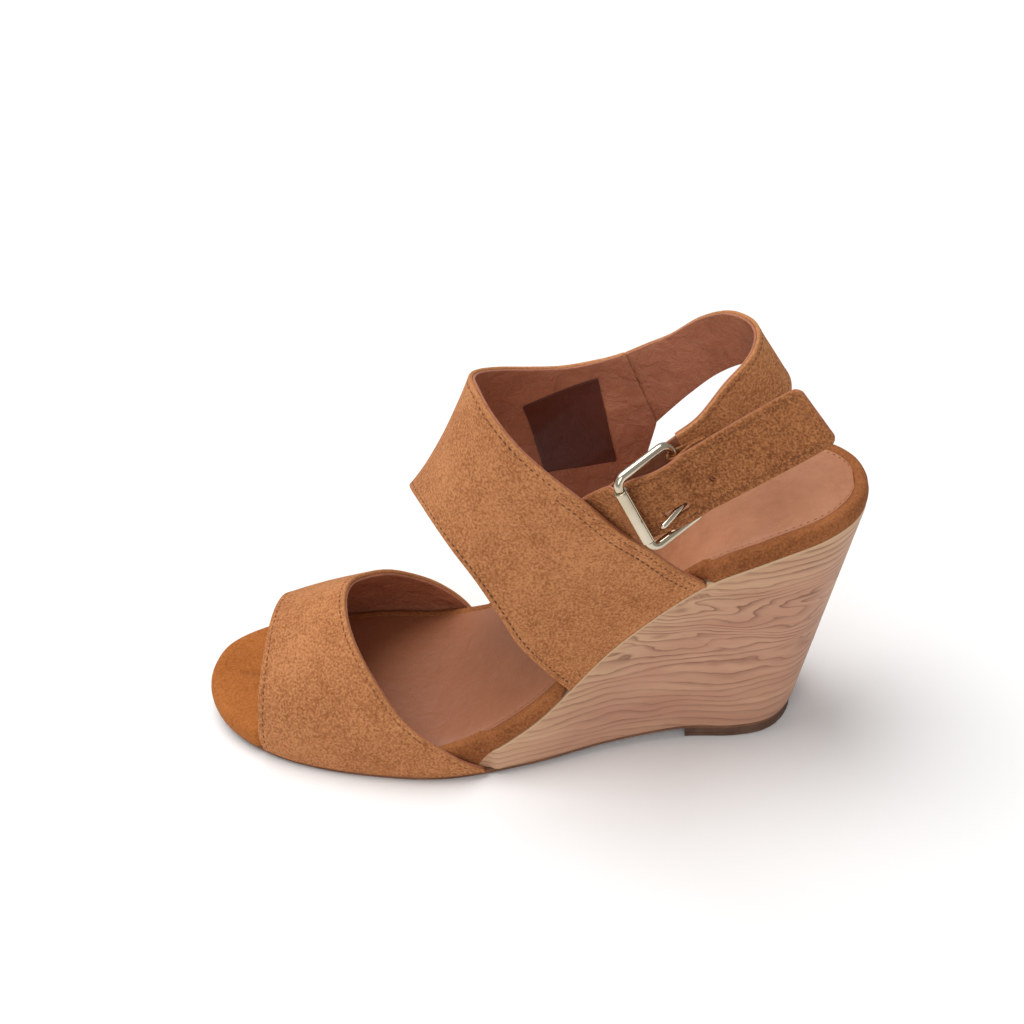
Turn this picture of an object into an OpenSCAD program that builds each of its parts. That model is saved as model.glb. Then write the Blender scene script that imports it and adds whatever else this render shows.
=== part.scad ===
// Wedge sandal, left foot: wrapped wedge and platform, peep-toe strap, instep band,
// slingback strap and a roller buckle with closure tab. Millimetres.
// Toe points to -X, heel to +X, outer (buckle) side to -Y, up is +Z, ground at z = 0.

/* [Platform] */
// Plan length of the shoe
shoe_len = 225; // [200:1:250]
// Height of the wedge top at the heel
heel_height = 88.8; // [60:0.5:100]
// Thickness of the heel top-lift
lift_t = 4; // [2:0.5:8]
// Thickness of the outsole
sole_t = 1.8; // [1:0.1:4]
// Thickness of the wood-grain wrap on the wedge
wrap_t = 1; // [0.6:0.1:2]
// Thickness of the insole board
board_t = 2.6; // [1.5:0.1:4]
// Thickness of the foam under the sock
foam_t = 2.8; // [1:0.1:5]
// Thickness of the sock lining
sock_t = 1.2; // [0.6:0.1:2]
// Width of the suede rim round the sock
rim_w = 4.2; // [3:0.1:8]

/* [Straps] */
// Thickness of the suede outers
outer_t = 1.3; // [0.8:0.1:2]
// Thickness of the leather linings
lining_t = 0.9; // [0.6:0.1:1.5]
// Width of the closure tab
tab_w = 22; // [14:0.5:22]

/* [Buckle] */
// Distance between hinge bar and roller bar centres
buckle_l = 20.5; // [14:0.5:26]
// Distance between the two side arm centres
buckle_w = 28; // [22:0.5:34]
// Radius of the buckle wire
wire_r = 1.5; // [1:0.1:2.5]
// Outer radius of the roller
roller_r = 2.2; // [1.8:0.1:3]
// Length of the roller
roller_len = 20.5; // [12:0.5:24]
// Radius of the prong wire
prong_r = 1.1; // [0.8:0.1:1.6]
// Length of the prong from the hinge bar
prong_l = 18; // [14:0.5:24]
// Resting lift of the prong out of the buckle plane, degrees
prong_lift = 22; // [5:1:35]

/* [Hidden] */
$fn = 48;
gap = 0.12;             // air between stacked layers
run = 0.05;             // radial running clearance
t_first = 3;            // plan angle at the toe end
t_last = 177;           // plan angle at the heel end
rows = 52;              // stations along the platform
inset_strap = outer_t + lining_t + 0.35;   // room for the toe strap beside the platform
inset_band = inset_strap + 0.7;            // room for the band, which leans in over the rim

// Half widths, wedge top height, bottom height and heel lean at every 15 degrees of plan angle
lat_w = [-1, 13.2, 25, 34.2, 40, 42.2, 37, 29, 25.8, 26.4, 22.8, 13.2, 0];
med_w = [1, 16.5, 27, 34.8, 38.8, 37.2, 30.2, 27, 27.4, 27.8, 23.4, 13.6, 0];
top_k = [5.6, 4.9, 3.6, 2.7, 3, 4.8, 19.6, 47.8, 69, 81.2, 86.8, 88.4, heel_height];
bot_k = [3, 2.3, 1, 0.2, 0, 0.2, 1, 2.4, lift_t, lift_t, lift_t, lift_t, lift_t];
lean_k = [0, 0, 0, 0, 0, 0, 0, 1.5, 5, 10.5, 16.5, 20.5, 22];
slim_k = [1, 1, 1, 1, 1, 1, 0.98, 0.94, 0.89, 0.86, 0.86, 0.87, 0.88];

function mix(a, b, f) = a + (b - a) * f;
function clamp01(v) = max(0, min(1, v));
function ease(v) = clamp01(v) * clamp01(v) * (3 - 2 * clamp01(v));
function unit(v) = v / norm(v);
function spline(a, b, c, d, f) =
    b + 0.5 * f * ((c - a) + f * ((2 * a - 5 * b + 4 * c - d) + f * (3 * (b - c) + d - a)));
function at(k, s) =
    let (n = len(k) - 1, i = max(0, min(n - 1, floor(s))), f = s - i,
         a = i > 0 ? k[i - 1] : 2 * k[0] - k[1],
         d = i < n - 1 ? k[i + 2] : 2 * k[n] - k[n - 1])
    spline(a, k[i], k[i + 1], d, f);
function knot(k, t) = at(k, t / 15);

// Plan position along the platform
function px(t) = shoe_len / 2 * (1 - cos(t));
function ang(x) = acos(1 - 2 * max(0, min(shoe_len, x)) / shoe_len);
function top_z(x) = knot(top_k, ang(x));
function bot_z(t) = t >= 120 ? lift_t : min(lift_t, knot(bot_k, t));
function side_w(t, s) = s < 0 ? knot(lat_w, t) : knot(med_w, t);

// Point on the top outline, s = -1 outer side, s = 1 inner side, d inward
function edge(t, s) = [px(t), s * side_w(t, s)];
function inward(p, q, s) = let (v = unit(q - p)) s * [v[1], -v[0]];
function rim_pt(t, s, d) =
    edge(t, s) + d * inward(edge(t - 0.5, s), edge(t + 0.5, s), s);
function base_edge(t, s) = [px(t) - knot(lean_k, t), s * side_w(t, s) * knot(slim_k, t)];
function base_pt(t, s, d) =
    base_edge(t, s) + d * inward(base_edge(t - 0.5, s), base_edge(t + 0.5, s), s);
function flat(p, z) = [p[0], p[1], z];
function over(p, h) = [p[0], p[1], top_z(p[0]) + h];
function station(i, n, a, b) = mix(a, b, i / n);

// Insets that leave room for the straps
toe_band = [20, 97.5];
lat_band = [126.5, 171.8];
med_band = [117, 148];
function span(x, r, e) = ease((x - r[0] + e) / e) * ease((r[1] + e - x) / e);
function wedge_in(x) = inset_strap * ease((toe_band[1] + 4 - x) / 4);
function rim_in(x, s) =
    max(inset_strap * span(x, toe_band, 2.5),
        inset_band * span(x, s < 0 ? lat_band : med_band, 2.5), 0.2);

// Faces of a closed skin over an m x n grid of outer points followed by inner points
function grid_faces(m, n) =
    let (k = m * n)
    concat(
        [for (i = [0:m - 2], j = [0:n - 2]) each
            [[i * n + j, i * n + j + 1, (i + 1) * n + j],
             [i * n + j + 1, (i + 1) * n + j + 1, (i + 1) * n + j]]],
        [for (i = [0:m - 2], j = [0:n - 2]) each
            [[k + i * n + j, k + (i + 1) * n + j, k + i * n + j + 1],
             [k + i * n + j + 1, k + (i + 1) * n + j, k + (i + 1) * n + j + 1]]],
        [for (i = [0:m - 2]) each
            [[i * n, (i + 1) * n, k + i * n], [(i + 1) * n, k + (i + 1) * n, k + i * n]]],
        [for (i = [0:m - 2]) let (e = n - 1) each
            [[i * n + e, k + i * n + e, (i + 1) * n + e],
             [(i + 1) * n + e, k + i * n + e, k + (i + 1) * n + e]]],
        [for (j = [0:n - 2]) each
            [[j, k + j, j + 1], [j + 1, k + j, k + j + 1]]],
        [for (j = [0:n - 2]) let (r = (m - 1) * n) each
            [[r + j, r + j + 1, k + r + j], [r + j + 1, k + r + j + 1, k + r + j]]]);
module skin(a, b) {
    polyhedron(points = concat([for (r = a) each r], [for (r = b) each r]),
               faces = grid_faces(len(a), len(a[0])));
}
// Closed tube over rings of equal length; ends closed or joined
function ring_faces(m, n, loop) =
    concat(
        [for (i = [0:(loop ? m - 1 : m - 2)], j = [0:n - 1])
            let (p = i * n, q = ((i + 1) % m) * n, f = (j + 1) % n) each
            [[p + j, p + f, q + j], [p + f, q + f, q + j]]],
        loop ? [] : [for (j = [1:n - 2]) [0, j + 1, j]],
        loop ? [] : [for (j = [1:n - 2]) [(m - 1) * n, (m - 1) * n + j, (m - 1) * n + j + 1]]);
module tube(rings, loop = false) {
    polyhedron(points = [for (r = rings) each r],
               faces = ring_faces(len(rings), len(rings[0]), loop));
}

// Stacked layer of the platform between two heights above the wedge top
module layer(h0, h1, d, a = t_first, b = t_last, n = rows) {
    tube([for (i = [0:n])
        let (t = station(i, n, a, b), x = px(t),
             l = rim_pt(t, -1, rim_in(x, -1) + d), m = rim_pt(t, 1, rim_in(x, 1) + d))
        [over(l, h0), over(m, h0), over(m, h1), over(l, h1)]]);
}

/* ---- platform ---- */
core_from = 66;
module wedge_core()
    color("BurlyWood")
    tube([for (i = [0:40])
        let (t = station(i, 40, core_from, t_last), d = wedge_in(px(t)) + wrap_t + gap)
        [flat(base_pt(t, -1, d), bot_z(t) + sole_t + gap), flat(base_pt(t, 1, d), bot_z(t) + sole_t + gap),
         over(rim_pt(t, 1, d), 0), over(rim_pt(t, -1, d), 0)]]);

wrap_from = 80;
function wrap_ring(t, s) =
    let (d = wedge_in(px(t)), b = bot_z(t) + sole_t + gap)
    [flat(base_pt(t, s, d), b), flat(base_pt(t, s, d + wrap_t), b),
     over(rim_pt(t, s, d + wrap_t), 0), over(rim_pt(t, s, d), 0)];
module wedge_wrap()
    color("Tan")
    tube(concat(
        [for (i = [0:34]) wrap_ring(station(i, 34, wrap_from, t_last), -1)],
        [for (i = [34:-1:0]) wrap_ring(station(i, 34, wrap_from, t_last), 1)]));

module outsole()
    color("SaddleBrown")
    tube([for (i = [0:rows])
        let (t = station(i, rows, t_first, t_last), z = bot_z(t),
             l = base_pt(t, -1, 0.9), m = base_pt(t, 1, 0.9))
        [flat(l, z), flat(m, z), flat(m, z + sole_t), flat(l, z + sole_t)]]);

lift_from = 121;
lift_n = 12;
module heel_lift()
    color("DimGray")
    linear_extrude(height = lift_t - gap)
    polygon(concat(
        [for (i = [0:lift_n]) base_pt(station(i, lift_n, lift_from, t_last), -1, 1.2)],
        [for (i = [lift_n:-1:0]) base_pt(station(i, lift_n, lift_from, t_last), 1, 1.2)]));

nail_spots = [[175, -12], [175, 13], [185, 0], [193, -10], [193, 11]];
module lift_nails()
    color("Silver")
    for (p = nail_spots)
        translate([p[0], p[1], 1.5])
            cylinder(r = 0.9, h = 16);

module insole_board()
    color("Peru")
    layer(gap, board_t, 1);

shank_x = [78, 182];
shank_w = 7;
module shank()
    color("SlateGray")
    tube([for (i = [0:20])
        let (x = station(i, 20, shank_x[0], shank_x[1]), z = top_z(x) + 0.8)
        [[x, -shank_w, z], [x, shank_w, z], [x, shank_w, z + 1], [x, -shank_w, z + 1]]]);

rivet_x = [90, 172];
module shank_rivets()
    color("Silver")
    for (x = rivet_x)
        translate([x, 0, top_z(x) + 0.7])
            cylinder(r = 1.2, h = 1.3);

tack_spots = [[188, -9], [188, 9], [200, 0], [206, -9], [206, 9]];
module heel_nails()
    color("Silver")
    for (p = tack_spots)
        translate([p[0], p[1], top_z(p[0]) - 17])
            cylinder(r = 1, h = 18.5);

sock_from = 41;
module insole_foam()
    color("LightYellow")
    layer(board_t + gap, board_t + foam_t, 1.7, 6);

module sock_lining()
    color("RosyBrown")
    layer(board_t + foam_t + gap, board_t + foam_t + sock_t, rim_w + 0.1, sock_from, 174);

module toe_wrap()
    color("Chocolate")
    layer(board_t + foam_t + gap, board_t + foam_t + 1, rim_w + 0.1, 13, sock_from - 1, 12);

rim_top = board_t + foam_t + 1.6;
rim_low = board_t + foam_t + gap;
rim_shape = [[0, gap], [0.85, gap], [0.85, rim_low], [rim_w, rim_low], [rim_w, rim_top - 0.25],
             [rim_w - 0.9, rim_top], [1.8, rim_top - 0.05], [0.6, rim_top - 0.8], [0, rim_top - 2.2]];
function rim_ring(t, s) =
    [for (q = rim_shape) over(rim_pt(t, s, rim_in(px(t), s) + q[0]), q[1])];
module insole_rim()
    color("Sienna")
    tube(concat(
        [for (i = [0:rows]) rim_ring(station(i, rows, t_first, t_last), -1)],
        [for (i = [rows:-1:0]) rim_ring(station(i, rows, t_first, t_last), 1)]), true);

/* ---- arched straps ---- */
function curve(k, v) = at(k, v * (len(k) - 1));
function slope_at(p, m, n, i, j) =
    let (a = p[max(0, i - 1)][j], b = p[min(m - 1, i + 1)][j],
         c = p[i][max(0, j - 1)], d = p[i][min(n - 1, j + 1)])
    unit(cross(b - a, d - c));
function lifted(p, t) =
    let (m = len(p), n = len(p[0]))
    [for (i = [0:m - 1]) [for (j = [0:n - 1]) p[i][j] + t * slope_at(p, m, n, i, j)]];
function fall(v, reach) = pow(clamp01(1 - v / reach), 1.6);

// Grid between a front and a rear edge with both feet following the platform
function strap_grid(front, rear, foot_l, foot_m, m, n, reach) =
    [for (i = [0:m]) [for (j = [0:n])
        let (u = j / n, v = i / m, w = mix(curve(front, v), curve(rear, v), u),
             a = call_foot(foot_l, u, -1) - mix(front[0], rear[0], u),
             b = call_foot(foot_m, u, 1) - mix(front[len(front) - 1], rear[len(rear) - 1], u))
        w + fall(v, reach) * a + fall(1 - v, reach) * b]];
strap_d = outer_t + 0.1;
function call_foot(r, u, s) =
    let (x = mix(r[0], r[1], u), p = rim_pt(ang(x), s, strap_d),
         low = r[2], z = low ? bot_z(ang(x)) + sole_t + 0.35 : top_z(p[0]) + 0.35)
    [p[0], p[1], z];

toe_front = [[20, -26.2, 3.2], [19.3, -27, 9], [19.6, -26.2, 15.5], [20.3, -24.4, 22], [21, -21, 27],
             [22, -16, 31.5], [23, -9, 35], [24, -1, 37], [25, 7, 36.8], [26, 14, 34.5],
             [26.2, 20, 30], [25.6, 24.5, 24], [24.3, 27.3, 16.5], [22.5, 28, 9.5], [21, 27.5, 3.2]];
toe_rear = [[98, -38.5, 3.5], [90, -40.8, 9.5], [78, -40, 19], [70.5, -37.8, 26], [63.8, -33.2, 35],
            [57.3, -26, 43.5], [53, -17, 49], [51.2, -6, 51.2], [52.2, 4, 49.6], [56, 12, 46],
            [62.9, 20, 41], [70.5, 27, 33.5], [79.3, 32.5, 24.6], [88, 35, 14.5], [95.5, 33.8, 3.5]];
toe_grid = strap_grid(toe_front, toe_rear, [20, 97.5, true], [21, 95.5, true], 36, 14, 0.5);
module toe_strap_outer()
    color("Peru")
    skin(lifted(toe_grid, -outer_t), toe_grid);
module toe_strap_lining()
    color("RosyBrown")
    skin(toe_grid, lifted(toe_grid, lining_t));

band_front = [[126.5, -30.8, 33.5], [120.5, -33.2, 42], [111, -34.6, 55.5], [104.5, -33.6, 68.5],
              [98, -30.6, 79.5], [91.5, -25.6, 87], [85.5, -17.5, 91.4], [80, -6, 91.7],
              [76.4, 4, 89], [75, 11, 85.4], [76, 18, 79.5], [80, 24.5, 71], [87, 29, 61],
              [96, 31.5, 50], [106, 31.4, 38.5], [117, 28, 24.5]];
band_crest = [[171.8, -24.3, 71], [163, -28.2, 80.3], [153.5, -30.8, 91.3], [144.2, -32.4, 100.4],
              [134.5, -33, 111.5], [123, -31.4, 122], [113, -27, 130.4], [105, -19, 137.3],
              [100, -9, 140.9], [98.7, -1, 139], [100.8, 7, 135.2], [107, 16, 129.5],
              [116, 23.5, 124], [127, 27.6, 121.4], [137.5, 29.8, 122], [147, 30, 125]];
band_heel = [[157, 26, 100], [153.5, 26.2, 86], [150, 26, 70], [148, 25.6, 54]];
seam_at = len(band_crest) - 1;
band_rows = 2 * (seam_at + len(band_heel));
function band_rear(v) =
    let (k = v * (seam_at + len(band_heel)))
    k <= seam_at ? at(band_crest, k)
    : k < seam_at + 1 ? mix(band_crest[seam_at], band_heel[0], k - seam_at)
    : at(band_heel, k - seam_at - 1);
band_l = [126.5, 171.8, false];
band_m = [117, 148, false];
function band_pt(u, v) =
    let (w = mix(curve(band_front, v), band_rear(v), u),
         a = call_foot(band_l, u, -1) - mix(band_front[0], band_crest[0], u),
         b = call_foot(band_m, u, 1) - mix(band_front[len(band_front) - 1], band_heel[3], u))
    w + fall(v, 0.3) * a + fall(1 - v, 0.3) * b;
band_cols = 14;
band_grid = [for (i = [0:band_rows]) [for (j = [0:band_cols]) band_pt(j / band_cols, i / band_rows)]];
module band_outer()
    color("Peru")
    skin(lifted(band_grid, -outer_t), band_grid);
module band_lining()
    color("RosyBrown")
    skin(band_grid, lifted(band_grid, lining_t));

// Sewn-in patch on the lining of the inner side, blank
label_uv = [[0.7, 0.685], [0.86, 0.785], [0.8, 0.872], [0.44, 0.83]];
label_t = 0.5;
function label_pt(p, q) =
    let (w = mix(mix(label_uv[0], label_uv[1], p), mix(label_uv[3], label_uv[2], p), q))
    band_pt(w[0], w[1]);
label_grid = [for (q = [0:4]) [for (p = [0:4]) label_pt(p / 4, q / 4)]];
module lining_label()
    color("Maroon")
    skin(lifted(label_grid, lining_t + 0.15), lifted(label_grid, lining_t + 0.15 + label_t));

/* ---- buckle frame of reference ---- */
hinge = [164.8, -31, 120.4];
fwd = unit([-0.79, -0.53, -0.32]);
wid0 = [-0.41, 0.05, 0.91];
wid = unit(wid0 - (wid0 * fwd) * fwd);
nrm = cross(wid, fwd);
function buck(x, n, w) = hinge + x * fwd + n * nrm + w * wid;
module at_buckle()
    multmatrix([[fwd[0], -wid[0], nrm[0], hinge[0]],
                [fwd[1], -wid[1], nrm[1], hinge[1]],
                [fwd[2], -wid[2], nrm[2], hinge[2]],
                [0, 0, 0, 1]])
        children();
module along_y(r, h)
    rotate([90, 0, 0])
        cylinder(r = r, h = h, center = true);

/* ---- heel sling ---- */
chape_t = 1.1;
chape_w = 19.2;
chape_tilt = 21;
loop_r = wire_r + run + chape_t;
tail_dir = -cos(chape_tilt) * fwd + sin(chape_tilt) * nrm;
tail_nrm = cos(chape_tilt) * nrm + sin(chape_tilt) * fwd;
sling_drop = loop_r + 0.3 + outer_t;
function rest(s, w) = hinge + s * tail_dir + w * wid - sling_drop * tail_nrm;
seam_gap = 0.3 * unit([0.9, -0.1, 0.4]);
sling_top = [band_crest[seam_at] + seam_gap, [154, 30, 128.4], [161.4, 28.7, 132.8], [170.5, 24.5, 141.8],
             [178.6, 18.5, 148], [184.3, 11, 151], [187.2, 3, 152.4], [186.8, -5, 152],
             [183.5, -12, 150.2], [177, -18, 146.2], rest(12, 15), rest(3, 13)];
sling_low = [band_heel[0] + seam_gap, [162, 25.8, 105.5], [168, 25.2, 112], [176.3, 23.5, 120.5],
             [185, 18.7, 128.2], [192, 11.5, 132.5], [196.8, 3, 134.3], [197.6, -6, 133.8],
             [194.5, -14, 131], [187.5, -20, 125], rest(12, -8.5), rest(3, -9)];
sling_rows = 44;
sling_cols = 6;
sling_grid = [for (i = [0:sling_rows]) [for (j = [0:sling_cols])
    mix(curve(sling_top, i / sling_rows), curve(sling_low, i / sling_rows), j / sling_cols)]];
module heel_strap_outer()
    color("Peru")
    skin(lifted(sling_grid, outer_t), sling_grid);
module heel_strap_lining()
    color("RosyBrown")
    skin(sling_grid, lifted(sling_grid, -lining_t));

guard_t = 1.2;
guard_top = [rest(2.7, 13), [154.5, -26.9, 126.6], [148, -27.8, 121.3], [142.5, -28.4, 116.6],
             [138.5, -28.7, 112.6], [138.6, -28.8, 108.6]];
guard_low = [rest(2.7, -9), [163.5, -28, 108], [157, -28.6, 104], [150.5, -28.9, 101.6],
             [145, -28.9, 102], [141.5, -28.9, 105]];
guard_rows = 14;
guard_grid = [for (i = [0:guard_rows]) [for (j = [0:sling_cols])
    mix(curve(guard_top, i / guard_rows), curve(guard_low, i / guard_rows), j / sling_cols)]];
module buckle_guard()
    color("RosyBrown")
    skin(lifted(guard_grid, 0.2), lifted(guard_grid, 0.2 - guard_t));

/* ---- buckle ---- */
corner_r = 3.3;
prong_y = 5.5;
prong_gap = 3.4;
chape_l = 11;
module chape_side()
    difference() {
        union() {
            circle(r = loop_r);
            polygon([[-chape_l, -loop_r * 0.97], [0.4, -loop_r * 0.97], [0.4, 0], [-0.5, loop_r * 0.93],
                     [-chape_l * 0.6, 2 * chape_t - loop_r], [-chape_l, 2 * chape_t - loop_r]]);
        }
        circle(r = wire_r + run);
    }
module buckle_chape()
    color("Chocolate")
    at_buckle()
    rotate([0, chape_tilt, 0])
    difference() {
        rotate([90, 0, 0])
            linear_extrude(height = chape_w, center = true)
                chape_side();
        translate([-4.5, prong_y - prong_gap / 2, -2 * loop_r])
            cube([12, prong_gap, 4 * loop_r]);
    }

module wire(x0, y0, x1, y1, r)
    translate([x0, y0, 0])
        rotate([0, 90, atan2(y1 - y0, x1 - x0)])
            cylinder(r = r, h = norm([x1 - x0, y1 - y0]));
module bend(x, y, a)
    translate([x, y, 0])
        rotate([0, 0, a])
            rotate_extrude(angle = 90)
                translate([corner_r, 0])
                    circle(r = wire_r);
half = buckle_w / 2;
core_r = wire_r - 0.3;
module buckle_frame()
    color("Gainsboro")
    at_buckle() {
        wire(0, corner_r - half, 0, half - corner_r, wire_r);
        wire(corner_r, -half, buckle_l - corner_r, -half, wire_r);
        wire(corner_r, half, buckle_l - corner_r, half, wire_r);
        wire(buckle_l, corner_r - half - 0.2, buckle_l, half - corner_r + 0.2, core_r);
        bend(corner_r, half - corner_r, 90);
        bend(corner_r, corner_r - half, 180);
        bend(buckle_l - corner_r, half - corner_r, 0);
        bend(buckle_l - corner_r, corner_r - half, 270);
    }

module buckle_roller()
    color("Gainsboro")
    at_buckle()
    translate([buckle_l, 0, 0])
    difference() {
        along_y(roller_r, roller_len);
        along_y(core_r + run, roller_len + 2);
    }

prong_w = 2.6;
module buckle_prong()
    color("Gainsboro")
    at_buckle()
    translate([0, prong_y, 0])
    rotate([0, -prong_lift, 0])
    difference() {
        union() {
            along_y(wire_r + run + 1, prong_w);
            rotate([0, 90, 0])
                cylinder(r = prong_r, h = prong_l - prong_r);
            translate([prong_l - prong_r, 0, 0])
                sphere(r = prong_r);
        }
        along_y(wire_r + run, prong_w + 2);
    }

/* ---- closure tab ---- */
tab_outer_t = 1.1;
tab_lining_t = 0.8;
under_dir = [-0.66, 0, 0.75];
tail_l = 48.9;
tail_t = unit([35.6, -8.2, 31]);
tail_c = unit([-0.573, 0.336, 0.745]);
over_bar = buck(0, 4.7, -0.6);
function tail_mid(s) = over_bar + s * tail_t;
tab_mid = [[131, -29.6, 95.5], [136, -29.4, 99.7], [140.5, -29.9, 103.8], [143.6, -32.3, 107.3],
           [145.8, -35.8, 110.6], buck(20.5, -4.2, -2.2), buck(16.8, -2.7, -1.2), buck(13.4, 0.2, -0.7),
           buck(9.6, 3.0, -0.6), buck(4.8, 4.45, -0.6), over_bar, tail_mid(4)];
tab_across = [under_dir, under_dir, under_dir, mix(under_dir, wid, 0.4), mix(under_dir, wid, 0.8),
              wid, wid, wid, wid, wid, mix(wid, tail_c, 0.1), mix(wid, tail_c, 0.2)];
function strip_row(m, c, w, n) = [for (j = [0:n]) m + (0.5 - j / n) * w * unit(c)];
tab_rows = 30;
tab_grid = [for (i = [0:tab_rows])
    strip_row(curve(tab_mid, i / tab_rows), curve(tab_across, i / tab_rows), tab_w, 2)];
slot_l = 8.8;
slot_r = 1.6;
sheet_tilt = 25;
module prong_slot()
    at_buckle()
    translate([7.9, prong_y, 3.7])
    rotate([0, sheet_tilt, 0]) {
        for (s = [-1, 1])
            translate([s * (slot_l / 2 - slot_r), 0, 0])
                cylinder(r = slot_r, h = 6, center = true);
        cube([slot_l - 2 * slot_r, 2 * slot_r, 6], center = true);
    }
module tab_outer()
    color("Peru")
    difference() {
        skin(tab_grid, lifted(tab_grid, -tab_outer_t));
        prong_slot();
    }
module tab_lining()
    color("RosyBrown")
    difference() {
        skin(lifted(tab_grid, tab_lining_t), tab_grid);
        prong_slot();
    }

tail_from = 4.3;
tail_rows = 8;
tail_grid = [for (i = [0:tail_rows])
    let (s = station(i, tail_rows, tail_from, tail_l))
    strip_row(tail_mid(s), mix(wid, tail_c, min(1, 0.2 + s / tail_l)), tab_w * mix(1, 0.94, s / tail_l), 2)];
hole_r = 1.1;
hole_s = [6.6];
tail_n = cross(tail_c, tail_t);
module tail_holes()
    for (s = hole_s)
        translate(tail_mid(s) - 1.5 * tail_c)
            rotate([0, acos(tail_n[2]), atan2(tail_n[1], tail_n[0])])
                cylinder(r = hole_r, h = 8, center = true);
module tail_outer()
    color("Peru")
    difference() {
        skin(tail_grid, lifted(tail_grid, -tab_outer_t));
        tail_holes();
    }
module tail_lining()
    color("RosyBrown")
    difference() {
        skin(lifted(tail_grid, tab_lining_t), tail_grid);
        tail_holes();
    }

/* ---- show ---- */
mid_x = 112.6;
mid_y = -4.54;
translate([-mid_x, -mid_y, 0]) wedge_core();
translate([-mid_x, -mid_y, 0]) wedge_wrap();
translate([-mid_x, -mid_y, 0]) outsole();
translate([-mid_x, -mid_y, 0]) heel_lift();
translate([-mid_x, -mid_y, 0]) lift_nails();
translate([-mid_x, -mid_y, 0]) insole_board();
translate([-mid_x, -mid_y, 0]) shank();
translate([-mid_x, -mid_y, 0]) shank_rivets();
translate([-mid_x, -mid_y, 0]) heel_nails();
translate([-mid_x, -mid_y, 0]) insole_foam();
translate([-mid_x, -mid_y, 0]) sock_lining();
translate([-mid_x, -mid_y, 0]) toe_wrap();
translate([-mid_x, -mid_y, 0]) insole_rim();
translate([-mid_x, -mid_y, 0]) toe_strap_outer();
translate([-mid_x, -mid_y, 0]) toe_strap_lining();
translate([-mid_x, -mid_y, 0]) band_outer();
translate([-mid_x, -mid_y, 0]) band_lining();
translate([-mid_x, -mid_y, 0]) lining_label();
translate([-mid_x, -mid_y, 0]) heel_strap_outer();
translate([-mid_x, -mid_y, 0]) heel_strap_lining();
translate([-mid_x, -mid_y, 0]) buckle_guard();
translate([-mid_x, -mid_y, 0]) buckle_chape();
translate([-mid_x, -mid_y, 0]) buckle_frame();
translate([-mid_x, -mid_y, 0]) buckle_roller();
translate([-mid_x, -mid_y, 0]) buckle_prong();
translate([-mid_x, -mid_y, 0]) tab_outer();
translate([-mid_x, -mid_y, 0]) tab_lining();
translate([-mid_x, -mid_y, 0]) tail_outer();
translate([-mid_x, -mid_y, 0]) tail_lining();
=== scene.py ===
"""Looks for the wedge sandal. Lengths are design millimetres; row() turns them into the frame's metres."""
import math

import bmesh
import bpy
import numpy as np
from mathutils import Matrix, Vector


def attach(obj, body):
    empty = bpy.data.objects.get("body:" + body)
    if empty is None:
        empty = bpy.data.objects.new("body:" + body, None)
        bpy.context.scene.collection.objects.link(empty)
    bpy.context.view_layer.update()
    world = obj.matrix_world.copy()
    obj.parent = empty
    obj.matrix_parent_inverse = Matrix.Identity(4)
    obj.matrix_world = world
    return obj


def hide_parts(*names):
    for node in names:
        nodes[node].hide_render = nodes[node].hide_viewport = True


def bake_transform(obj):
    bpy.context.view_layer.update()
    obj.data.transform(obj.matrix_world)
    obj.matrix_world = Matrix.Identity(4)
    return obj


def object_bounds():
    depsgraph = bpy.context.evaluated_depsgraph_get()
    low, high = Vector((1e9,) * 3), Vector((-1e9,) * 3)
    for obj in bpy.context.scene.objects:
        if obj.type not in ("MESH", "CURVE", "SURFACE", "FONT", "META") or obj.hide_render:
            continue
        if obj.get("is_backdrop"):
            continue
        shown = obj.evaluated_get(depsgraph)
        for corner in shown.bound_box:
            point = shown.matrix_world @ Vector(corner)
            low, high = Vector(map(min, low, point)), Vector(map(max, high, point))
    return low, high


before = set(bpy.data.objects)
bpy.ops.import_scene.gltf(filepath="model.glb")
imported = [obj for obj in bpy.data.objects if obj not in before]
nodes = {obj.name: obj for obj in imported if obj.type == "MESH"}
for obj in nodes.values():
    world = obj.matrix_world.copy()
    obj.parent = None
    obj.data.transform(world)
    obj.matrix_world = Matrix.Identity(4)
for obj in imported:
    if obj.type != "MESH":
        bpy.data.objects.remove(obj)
cad_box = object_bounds()
rng = np.random.default_rng(7)

# ---------------------------------------------------------------- camera and light
scene = bpy.context.scene


def aim(location, azimuth, elevation, roll):
    """Camera matrix looking along the given azimuth and elevation in degrees."""
    a, e, r = (math.radians(x) for x in (azimuth, elevation, roll))
    back = np.array([math.sin(a) * math.cos(e), -math.cos(a) * math.cos(e), math.sin(e)])
    right = np.array([math.cos(a), math.sin(a), 0.0])
    up = np.cross(back, right)
    m = np.eye(4)
    m[:3, 0] = right * math.cos(r) + up * math.sin(r)
    m[:3, 1] = up * math.cos(r) - right * math.sin(r)
    m[:3, 2] = back
    m[:3, 3] = location
    return Matrix(m.tolist())


camera = bpy.data.objects.new("camera", bpy.data.cameras.new("camera"))
camera.data.lens = 83.0
camera.data.sensor_width = 36.0
camera.data.clip_start = 0.01
camera.matrix_world = aim((0.0337, -0.60426, 0.5695), 3.55, 38.58, -3.17)
scene.collection.objects.link(camera)
scene.camera = camera

scene.view_settings.view_transform = "Standard"
world = bpy.data.worlds.new("studio")
world.use_nodes = True
world.node_tree.nodes["Background"].inputs["Color"].default_value = (1.0, 1.0, 1.0, 1)
world.node_tree.nodes["Background"].inputs["Strength"].default_value = 0.38
scene.world = world


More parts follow.
